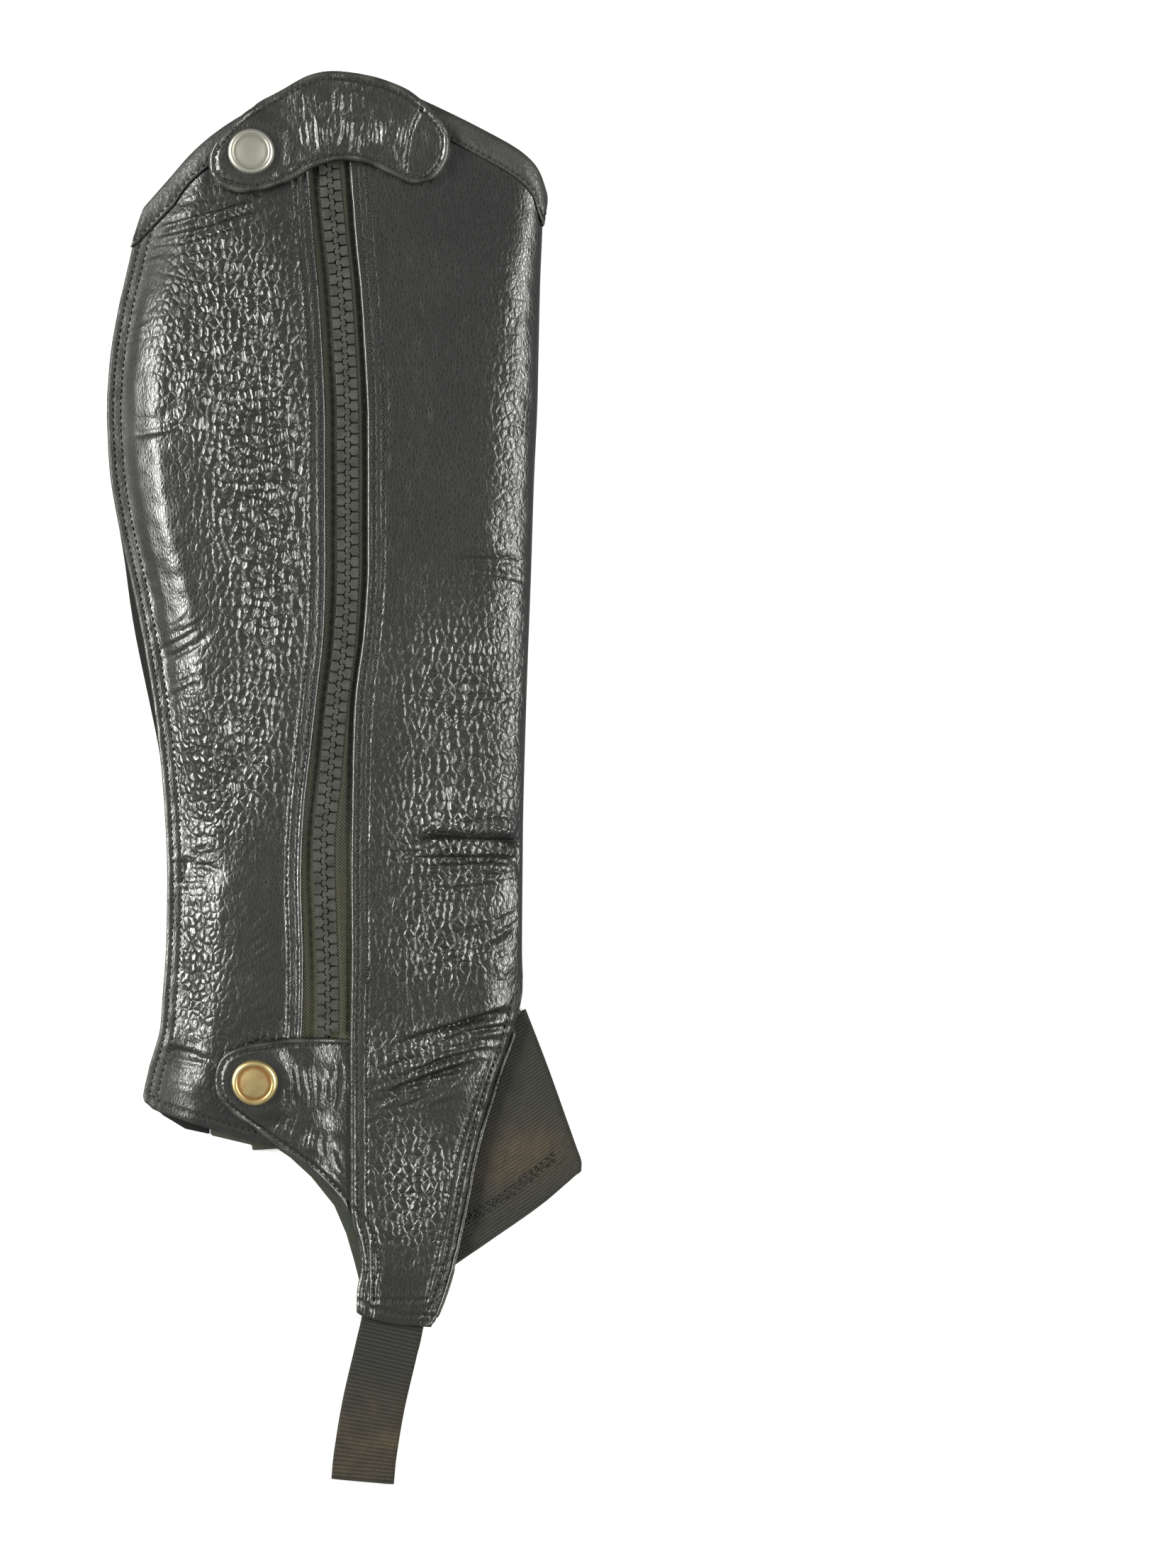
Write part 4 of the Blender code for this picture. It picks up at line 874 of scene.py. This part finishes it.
def makeTab(name, node, tab, height, snap, thick, seed):
    ways = [route(tab[side]) for side in ("left", "right", "lower", "upper")]
    plan = patch(*ways, np.linspace(0, 1, tab["columns"]), np.linspace(0, 1, tab["rows"]))
    x, y = plan[..., 0], plan[..., 1]
    grid = np.dstack([plan, flattened(height, x, y, snap)])
    loop = tab["lower"] + tab["right"][1:] + tab["upper"][::-1][1:] + tab["left"][::-1][1:]
    if "sewn" not in tab:
        loop = tab["upper"][::-1] + tab["left"][::-1][1:] + tab["lower"][1:]
    loop = route(loop)
    away, spot = nearWay(plan, loop)
    line = tab["stitchIn"]
    cap = np.hypot(x - snap[0], y - snap[1])
    calm = ease((cap - 9.5 * mm) / (3 * mm)) * ease((away - 2 * mm) / (3 * mm))
    if "sewn" in tab:
        sewn, _ = nearWay(plan, route(tab["sewn"]))
        calm = calm * ease((26 * mm - x) / (3 * mm))
    relief = creaseRelief(x, y, scattered(tab["fans"], seed)) * calm
    relief += 0.16 * mm * uneven(x, y, 9.0, seed) * ease((cap - 9 * mm) / (4 * mm))
    relief += seamRelief(away, spot, (line,), seed) - 0.5 * mm * hill(away, 0.4 * mm)
    relief += 0.32 * mm * hill(away - 1.25 * mm, 0.8 * mm)
    if "sewn" in tab:
        groove = 0.3 * hill(sewn - 1.3 * mm, 0.9 * mm) - 0.7 * hill(sewn, 0.6 * mm)
        relief += groove * mm * (away > 2 * mm)
    grid += gridNormals(grid) * relief[..., None]
    wear = 0.6 * hill(away - 1.0 * mm, 1.0 * mm) * (0.5 + 0.5 * uneven(x, y, 8.0, seed + 1))
    mesh = gridMesh(name, grid, pebble=0.1 * calm, wear=np.clip(wear, 0, 1), dust=0.55 + 0 * x)
    piece = addPiece(name, mesh, "leather", node)
    finishWith(piece, cowhide, suede)
    surface = thicken(piece, thick, 1)
    return surface, beside(loop, line)


topTabSurface, topTabSeam = makeTab("top_strap_tab", "top_tab", topTab, topTabHeight, snaps["top"],
                                    wall["tab"], 51)
heelTabSurface, heelTabSeam = makeTab("heel_snap_tab", "heel_tab", heelTab, heelTabHeight, snaps["heel"],
                                      wall["leather"], 61)
print("tabs are made")

gusset = {"seam": [(35.6, -184.4), (40.2, -158.0), (46.0, -132.0), (50.8, -116.0), (55.6, -100.2),
                   (58.6, -90.5)],
          "fold": [(88.6, -145.4), (88.6, -141.8), (86.8, -136.6), (83.3, -126.7), (75.7, -105.5),
                   (67.8, -85.0)],
          "hem": [(35.6, -184.4), (57.4, -169.4), (75.0, -157.0), (88.6, -145.4)],
          "stains": [(70.0, -137.0, 14.0, 9.0, 0.9), (60.0, -146.0, 12.0, 8.0, 0.5)],
          "stitchLines": (9.0, 12.6), "stitchSpan": (0.1, 0.95), "radius": 2.1 * mm,
          "columns": 60, "rows": 96, "flat": (0.11, 0.075), "area": 0.0054}


def underLeather(x, y, gap):  # the height that a piece sewn below the leather reaches
    step = 1.5 * mm
    top = leatherTop(x, y)
    lean = (top - leatherTop(x - step, y)) / step
    return top - (wall["leather"] + gap) * np.hypot(1.0, lean)


def makeGusset():
    seam, fold, hem = (route(gusset[side]) for side in ("seam", "fold", "hem"))
    top = route([gusset["seam"][-1], gusset["fold"][-1]])
    across = np.linspace(0, 1, gusset["columns"])
    plan = patch(seam, fold, hem, top, across, np.linspace(0, 1, gusset["rows"]))
    start, end = plan[:, :1], plan[:, -1:]
    width = np.linalg.norm(end - start, axis=-1, keepdims=True)
    radius = gusset["radius"]
    plan = start + (plan - start) * (1 - radius / width)
    x, y = plan[..., 0], plan[..., 1]
    share = ease(np.interp(across, [0, 0.12, 0.25, 0.5, 0.75, 1], [0, 0.25, 0.5, 0.75, 1, 1]))[None, :]
    height = underLeather(x, y, 1.5 * wall["seamGap"]) * (1 - share) + 2 * radius * share
    away, _ = nearWay(plan, hem)
    sewn, _ = nearWay(plan, seam)
    height += 0.25 * mm * uneven(x, y, 12.0, 71) * ease(sewn / (6 * mm)) - 0.5 * mm * hill(away, 0.8 * mm)
    height -= 0.35 * mm * hill(away - 7.0 * mm, 0.6 * mm) + 0.25 * mm * hill(away - 12.5 * mm, 0.6 * mm)
    upper = np.dstack([plan, height])
    inward = plan[:, -2] - plan[:, -1]
    inward /= np.linalg.norm(inward, axis=1, keepdims=True)
    turned = []
    for angle in np.radians(np.linspace(70, -90, 9)):
        spot = end[:, 0] + inward * radius * (1 - math.cos(angle))
        turned.append(np.column_stack([spot, np.full(len(spot), radius * (1 + math.sin(angle)))]))
    lower = np.dstack([plan, 0 * height])[:, :-1][:, ::-3]
    grid = np.concatenate([upper, np.stack(turned, axis=1), lower], axis=1)
    u = np.cumsum(np.linalg.norm(np.diff(grid, axis=1, prepend=grid[:, :1]), axis=-1), axis=1)
    v = lengthDown(grid, 30)
    stain = patchOf(grid[..., 0], grid[..., 1], gusset["stains"])
    mesh = gridMesh("gusset_elastic", grid, cloth=np.dstack([v, u, 0 * u]), stain=stain, dust=0.35 + 0 * u)
    piece = addPiece("gusset_elastic", mesh, "elastic", "instep_gusset")
    finishWith(piece, elastic)
    surface = thicken(piece, wall["elastic"])
    return surface, hem


strap = {"line": [(18.9, -188.0), (18.4, -200.0), (15.9, -211.5), (11.0, -232.7), (7.8, -252.0), (6.9, -261.5)],
         "width": 23.3 * mm, "height": 4.4 * mm, "endY": -203.5 * mm, "columns": 25, "rows": 130,
         "flat": (0.0233, 0.15)}


def makeStrap():
    way = route(strap["line"])
    over = np.linspace(0, 0.97, strap["rows"])
    turns = np.radians([60, 30, 0, -30, -60])
    shares = np.concatenate([over, 1 - 0.03 * (1 - np.cos(turns)), over[::-2]])
    here = along(way, shares)
    lean = along(way, np.minimum(1, shares + 0.02)) - along(way, np.maximum(0, shares - 0.02))
    side = np.stack([lean[:, 1], -lean[:, 0]], axis=1)
    side /= np.linalg.norm(side, axis=1, keepdims=True)
    spread = np.linspace(0.5, -0.5, strap["columns"])
    plan = here[:, None] - side[:, None] * strap["width"] * spread[None, :, None]
    x, y = plan[..., 0], plan[..., 1]
    sewn = underLeather(x, y, 1.5 * wall["seamGap"])
    upper = sewn + (strap["height"] - sewn) * ease((strap["endY"] - y) / (12 * mm))
    upper += 0.12 * mm * uneven(x, y, 14.0, 81) - 0.35 * mm * (np.abs(spread) > 0.49)[None, :]
    lower = (wall["leather"] + wall["seamGap"]) * ease((y - strap["endY"] + 10 * mm) / (8 * mm))
    bend = (strap["height"] / 2 * (1 + np.sin(turns)))[:, None] + 0 * spread
    n = len(over)
    height = np.concatenate([upper[:n], bend, lower[n + len(turns):]])
    grid = np.dstack([plan, height])
    u = np.repeat((spread * strap["width"])[None, :], len(grid), axis=0)
    v = lengthDown(grid, 12)
    stain = 0.75 * ease((-216 * mm - y) / (30 * mm)) * (0.7 + 0.3 * uneven(x, y, 12.0, 82))
    stain = np.clip(stain + patchOf(x, y, [(16.0, -246.0, 5.0, 4.0, 0.8)]), 0, 1)
    mesh = gridMesh("strap_elastic", grid, cloth=np.dstack([v, u, 0 * u]), stain=stain, dust=0.2 + 0 * u)
    piece = addPiece("strap_elastic", mesh, "elastic", "foot_strap")
    finishWith(piece, elastic)
    thicken(piece, wall["elastic"])


def ribbedElastic():
    # Woven covered-rubber elastic: dull black ribs 1.5 mm apart, browned by mud where it went under the foot.
    # The gusset's real ribs are 1 mm apart, which is too fine to show.
    material, tree, shader = newMaterial("ribbed elastic webbing", 0.82)
    cloth = attribute(tree, "cloth", "Vector")
    stain, dust = attribute(tree, "stain"), attribute(tree, "dust")
    drift = noise(tree, cloth, 0.004, 3.0)
    ribs = waves(tree, cloth, "X", 0.0015, 0.6)
    picks = waves(tree, cloth, "Y", 0.0008, 0.8)
    woven = worked(tree, "MULTIPLY_ADD", picks, 0.35, ribs)
    fuzz = noise(tree, cloth, 0.0005, 4.0)
    bump = bumped(tree, worked(tree, "MULTIPLY_ADD", fuzz, 0.6, woven), 1.0, 0.0005)
    # the weave is darker in its low parts: painted shade between the ribs
    shade = blend(tree, woven, srgb("#030302"), srgb("#2e2d28"))
    dusted = blend(tree, worked(tree, "MULTIPLY", drift, dust), shade, srgb("#4a483e"))
    stained = blend(tree, worked(tree, "MULTIPLY", drift, stain), dusted, srgb("#584a33"))
    setInputs(tree, shader, {"Base Color": stained, "Normal": bump, "Sheen Weight": 0.04})
    return material


elastic = ribbedElastic()
gussetSurface, gussetHem = makeGusset()
makeStrap()
print("gusset and strap are made")

tape = {"near": 0.25, "reach": 12.5, "bead": 4.25, "groove": 9.2, "lift": -2.05 * mm, "foot": -97.0,
        "top": 254.0, "columns": 26, "rows": 230, "flat": (0.0123, 0.35)}
chain = {"pitch": 4.1 * mm, "foot": -93.2 * mm, "top": 239.5 * mm, "lift": -0.5 * mm, "height": 2.2 * mm}


def wovenTape():
    # Woven polyester zip tape: fine slanted ribs 0.9 mm apart, dull, with khaki dust towards the foot.
    material, tree, shader = newMaterial("woven polyester tape", 0.78)
    cloth, dust = attribute(tree, "cloth", "Vector"), attribute(tree, "dust")
    ribs = waves(tree, cloth, "DIAGONAL", 0.0009, 0.6)
    fuzz = noise(tree, cloth, 0.0006, 4.0)
    height = worked(tree, "ADD", ribs, fuzz)
    # darker in the ribs' low parts: painted shade between them
    shade = blend(tree, height, srgb("#161714"), srgb("#43453d"))
    dusted = blend(tree, worked(tree, "MULTIPLY", fuzz, dust), shade, srgb("#66644c"))
    setInputs(tree, shader, {"Base Color": dusted, "Normal": bumped(tree, height, 0.8, 0.0003)})
    return material


def mouldedTeeth():
    # Injection-moulded acetal: black, slightly waxy, with a soft gloss that wear has scuffed in places.
    material, tree, shader = newMaterial("moulded acetal", 0.36, ior=1.48)
    scuff = noise(tree, objectPlace(tree), 0.004, 5.0)
    shade = blend(tree, scuff, srgb("#2b2c29"), srgb("#4e4f49"))
    setInputs(tree, shader, {"Base Color": shade, "Roughness": mapped(tree, scuff, 0.35, 0.65, 0.3, 0.5)})
    return material


def makeTape(name, node, side):
    y = np.linspace(tape["foot"], tape["top"], tape["rows"]) * mm
    off = side * np.linspace(tape["near"], tape["reach"], tape["columns"]) * mm
    off = off[::-1] if side < 0 else off
    x = zipMiddle(y)[:, None] + off[None, :]
    yy = np.repeat(y[:, None], len(off), axis=1)
    z = leatherTop(x, yy) + tape["lift"]
    z = z + 0.45 * mm * hill(np.abs(off) - tape["bead"] * mm, 0.4 * mm)[None, :]
    z = z - 0.3 * mm * hill(np.abs(off) - tape["groove"] * mm, 0.35 * mm)[None, :]
    grid = np.dstack([x, yy, z])
    dust = 0.25 + 0.65 * ease((60 * mm - yy) / (150 * mm))
    cloth = np.dstack([np.repeat(off[None, :], len(y), axis=0), yy, 0 * yy])
    mesh = gridMesh(name, grid, cloth=cloth, dust=dust)
    piece = addPiece(name, mesh, "zip_tape", node)
    finishWith(piece, wovenPolyester)
    thicken(piece, wall["tape"])


def modelTooth():  # body towards the tape at -X, then a neck and a round head that crosses the middle line
    bpy.ops.object.select_all(action="DESELECT")
    bpy.ops.mesh.primitive_cube_add(size=1.0, location=(-2.6 * mm, 0, 0),
                                    scale=(2.5 * mm, 3.6 * mm, chain["height"]))
    tooth = bpy.context.object
    bpy.ops.object.transform_apply(location=True, rotation=True, scale=True)
    editOneFace(tooth, Vector((1, 0, 0)))
    reach = -1.35
    # how much further out, and how much wider or narrower than before
    for step, wider in ((0.3, 0.42), (0.65, 1.0), (0.35, 1.55), (0.5, 1.08), (0.4, 0.62)):
        reach += step
        bpy.ops.mesh.extrude_region_move(TRANSFORM_OT_translate={"value": (step * mm, 0, 0)})
        bpy.ops.transform.resize(value=(1, wider, 1), center_override=(reach * mm, 0, 0))
    bpy.ops.object.mode_set(mode="OBJECT")
    applyModifier(tooth, "BEVEL", width=0.22 * mm, segments=1, limit_method="ANGLE",
                  angle_limit=math.radians(50))
    mesh = tooth.data
    verts = np.array([v.co for v in mesh.vertices])
    faces = [list(face.vertices) for face in mesh.polygons]
    bpy.data.objects.remove(tooth, do_unlink=True)
    return verts, faces


def makeTeeth():
    verts, faces = modelTooth()
    for side, name, start in ((-1, "calf_teeth", 0.0), (1, "shin_teeth", 0.5)):
        ys = np.arange(chain["foot"] + start * chain["pitch"], chain["top"], chain["pitch"])
        places, quads = [], []
        for y in ys:
            here, there = zipMiddle(y - mm), zipMiddle(y + mm)
            x = zipMiddle(y)
            spots = ((here, y - mm), (x, y), (there, y + mm))
            height = [float(leatherTop(np.array(a), np.array(b))) for a, b in spots]
            run = np.array([there - here, 2 * mm, height[2] - height[0]])
            run /= np.linalg.norm(run)
            across = np.cross(run, (0, 0, 1.0))
            across /= np.linalg.norm(across)
            up = np.cross(across, run)
            turned = verts * (-side, -side, 1.0)
            middle = np.array([x, y, height[1] + chain["lift"]])
            quads += [[k + len(places) * len(verts) for k in face] for face in faces]
            places.append(middle + turned @ np.array([across, run, up]))
        mesh = bpy.data.meshes.new(name)
        mesh.from_pydata(np.concatenate(places).tolist(), [], quads)
        piece = addPiece(name, mesh, "zip_teeth", "zip_chain")
        finishWith(piece, acetal)


wovenPolyester = wovenTape()
acetal = mouldedTeeth()
makeTape("calf_tape", "zip_tape_calf", -1)
makeTape("shin_tape", "zip_tape_shin", 1)
makeTeeth()
finishWith(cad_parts["zip_slider"], acetal)
print("zip is made")


def plated(name, light, dark, tarnish):
    # Thin electroplate on a stamped cap: bright where fingers rub it, tarnished in the sunk ground.
    material, tree, shader = newMaterial(name, 0.3, metallic=1.0)
    spots = noise(tree, objectPlace(tree), 0.003, 6.0)
    mixed = worked(tree, "MULTIPLY_ADD", spots, 1.2, attribute(tree, "sunk"))
    amount = mapped(tree, mixed, 0.45, 1.5, 0.0, 1.0)
    shade = blend(tree, amount, srgb(light), srgb(dark))
    setInputs(tree, shader, {"Base Color": shade, "Roughness": mapped(tree, amount, 0.0, 1.0, 0.4, tarnish)})
    return material


# a cap's steps inwards from its foot: how much further in, and how much up
capSteps = [(0.5, 0.95), (0.55, 0.35), (0.75, 0.0), (0.3, -0.35), (0.35, 0.0), (1.2, 0.22), (1.6, 0.2),
            (1.6, 0.12)]


def makeCap(name, node, centre, height, slot, material):
    step = snaps["step"]
    bpy.ops.object.select_all(action="DESELECT")
    bpy.ops.mesh.primitive_cylinder_add(vertices=64, radius=snaps["radius"], depth=0.6 * mm,
                                        location=(0, 0, 0.3 * mm))
    cap = bpy.context.object
    editOneFace(cap, Vector((0, 0, 1)))
    for inwards, up in capSteps:
        bpy.ops.mesh.inset(thickness=inwards * mm)
        bpy.ops.transform.translate(value=(0, 0, up * mm))
    bpy.ops.object.mode_set(mode="OBJECT")
    applyModifier(cap, "BEVEL", width=0.12 * mm, segments=2, limit_method="ANGLE",
                  angle_limit=math.radians(20))
    mesh = cap.data.copy()
    bpy.data.objects.remove(cap, do_unlink=True)
    far = np.array([math.hypot(v.co.x, v.co.y) / mm for v in mesh.vertices])
    sunk = hill(far - 5.9, 0.7) + 0.25 * (far < 6.2)
    mesh.attributes.new("sunk", "FLOAT", "POINT").data.foreach_set("value", sunk)
    at = around(height, centre)
    normal = Vector((at[2] - at[1], at[4] - at[3], 2 * step)).normalized()
    place = Vector((*centre, at[0] + snaps["standoff"])) + normal * wall["seamGap"]
    mesh.transform(Matrix.Translation(place) @ normal.to_track_quat("Z", "Y").to_matrix().to_4x4())
    mesh.shade_smooth()
    piece = addPiece(name, mesh, slot, node)
    finishWith(piece, material)


nickelPlate = plated("nickel plate on a stamped cap", "#d4d1c4", "#9a978c", 0.55)
brassPlate = plated("worn brass plate with brown patina", "#f0dca0", "#a87f4e", 0.5)
makeCap("top_cap", "top_snap", snaps["top"], topTabHeight, "nickel", nickelPlate)
makeCap("heel_cap", "heel_snap", snaps["heel"], heelTabHeight, "brass", brassPlate)
print("snap caps are made")


def makePlate(name, node, slot, material):  # a flat piece under the leg, with softened edges
    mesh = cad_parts[node].data.copy()
    piece = addPiece(name, mesh, slot, node)
    finishWith(piece, material)
    selectOnly(piece)
    bpy.ops.object.mode_set(mode="EDIT")
    bpy.ops.mesh.select_all(action="SELECT")
    bpy.ops.mesh.remove_doubles(threshold=0.00001)
    bpy.ops.mesh.dissolve_limited(angle_limit=0.01)
    bpy.ops.object.mode_set(mode="OBJECT")
    applyModifier(piece, "BEVEL", width=0.35 * mm, segments=2, limit_method="ANGLE",
                  angle_limit=math.radians(60))
    piece.data.shade_smooth()
    piece.data.set_sharp_from_angle(angle=math.radians(40))


makePlate("inner_leg_leather", "inner_leg_panel", "leather", suede)
makePlate("inner_leg_band", "inner_leg_binding", "leather", cowhide)
makePlate("calf_stretch", "calf_elastic", "elastic", elastic)
print("inner leg pieces are made")

thread = {"width": 0.62, "pitch": 2.45, "fill": 0.8, "sink": 0.38, "stand": 0.3, "sides": 6}


def waxedThread():  # bonded black polyester thread: smooth, with a waxy gloss
    material, tree, shader = newMaterial("waxed polyester thread", 0.45)
    lint = noise(tree, objectPlace(tree), 0.01, 3.0)
    setInputs(tree, shader, {"Base Color": blend(tree, lint, srgb("#0f100e"), srgb("#252721"))})
    return material


def makeStitches(name, slot, rows):  # rows: a surface and the plan line sewn on it
    turns = np.linspace(0, 2 * math.pi, thread["sides"], endpoint=False)
    stations = np.linspace(0, 1, 5)
    verts, faces = [], []
    count, sides = 0, thread["sides"]
    for surface, way in rows:
        total = int(way[1][-1] / (thread["pitch"] * mm))
        for k in range(total):
            half = thread["fill"] / 2
            ends = along(way, [(k + 0.5 - half) / total, (k + 0.5 + half) / total])
            hits = [surface.ray_cast(Vector((*spot, 0.1)), Vector((0, 0, -1))) for spot in ends]
            if hits[0][0] is None or hits[1][0] is None:
                continue
            a, b = np.array(hits[0][0]), np.array(hits[1][0])
            up = np.array((hits[0][1] + hits[1][1]).normalized())
            run = (b - a) / max(1e-9, np.linalg.norm(b - a))
            side = np.cross(up, run)
            for t in stations:
                arch = math.sin(math.pi * t)
                middle = a + (b - a) * t + up * (thread["stand"] * arch - thread["sink"] * (1 - arch)) * mm
                girth = 0.5 * thread["width"] * (0.7 + 0.3 * arch) * mm
                verts += [middle + girth * (side * math.cos(turn) + up * math.sin(turn)) for turn in turns]
            for ring in range(len(stations) - 1):
                low = count + ring * sides
                faces += [(low + j, low + sides + j, low + sides + (j + 1) % sides, low + (j + 1) % sides)
                          for j in range(sides)]
            faces.append(tuple(count + j for j in range(sides)))
            faces.append(tuple(count + len(stations) * sides - 1 - j for j in range(sides)))
            count += len(stations) * sides
    mesh = bpy.data.meshes.new(name)
    mesh.from_pydata([tuple(v) for v in verts], [], faces)
    mesh.shade_smooth()
    piece = addPiece(name, mesh, slot)
    finishWith(piece, polyesterThread)


polyesterThread = waxedThread()
seamWay, zipWay, hemWay, _ = calfWays()
calfRows = [(calfSurface, beside(seamWay, -line)) for line in calf["seamLines"]]
calfRows += [(calfSurface, beside(zipWay, line, 0.12)) for line in calf["zipLines"]]
calfRows += [(calfSurface, beside(hemWay, calf["hemLines"][0]))]
makeStitches("calf_stitches", "leather", calfRows)
shinRows = [(shinSurface, beside(shinZipEdge(), -line, 0.01)) for line in shin["zipLines"]]
shinRows += [(shinSurface, beside(route(tongueEdge), shin["edgeLines"][0]))]
shinRows += [(shinSurface, beside(route(tongueEnd), shin["footLines"][0], 0.1, 0.92))]
shinRows += [(shinSurface, route(line)) for line in shin["tongueLines"]]
makeStitches("shin_stitches", "leather", shinRows)
makeStitches("band_stitches", "leather", [(calfBandSurface, calfBandSeam), (shinBandSurface, shinBandSeam)])
makeStitches("tab_stitches", "leather", [(topTabSurface, topTabSeam), (topTabSurface, route(topTab["sewn"])),
                                         (heelTabSurface, heelTabSeam)])
turns = np.linspace(*gusset["stitchSpan"], 21)
inner, outer = (along(beside(gussetHem, line), turns) for line in gusset["stitchLines"])
zigzag = measured(np.stack([inner[:-1], outer[1:]], axis=1).reshape(-1, 2))
straight = beside(gussetHem, gusset["stitchLines"][1], *gusset["stitchSpan"])
makeStitches("gusset_stitches", "elastic", [(gussetSurface, zigzag), (gussetSurface, straight)])
print("stitches are made")
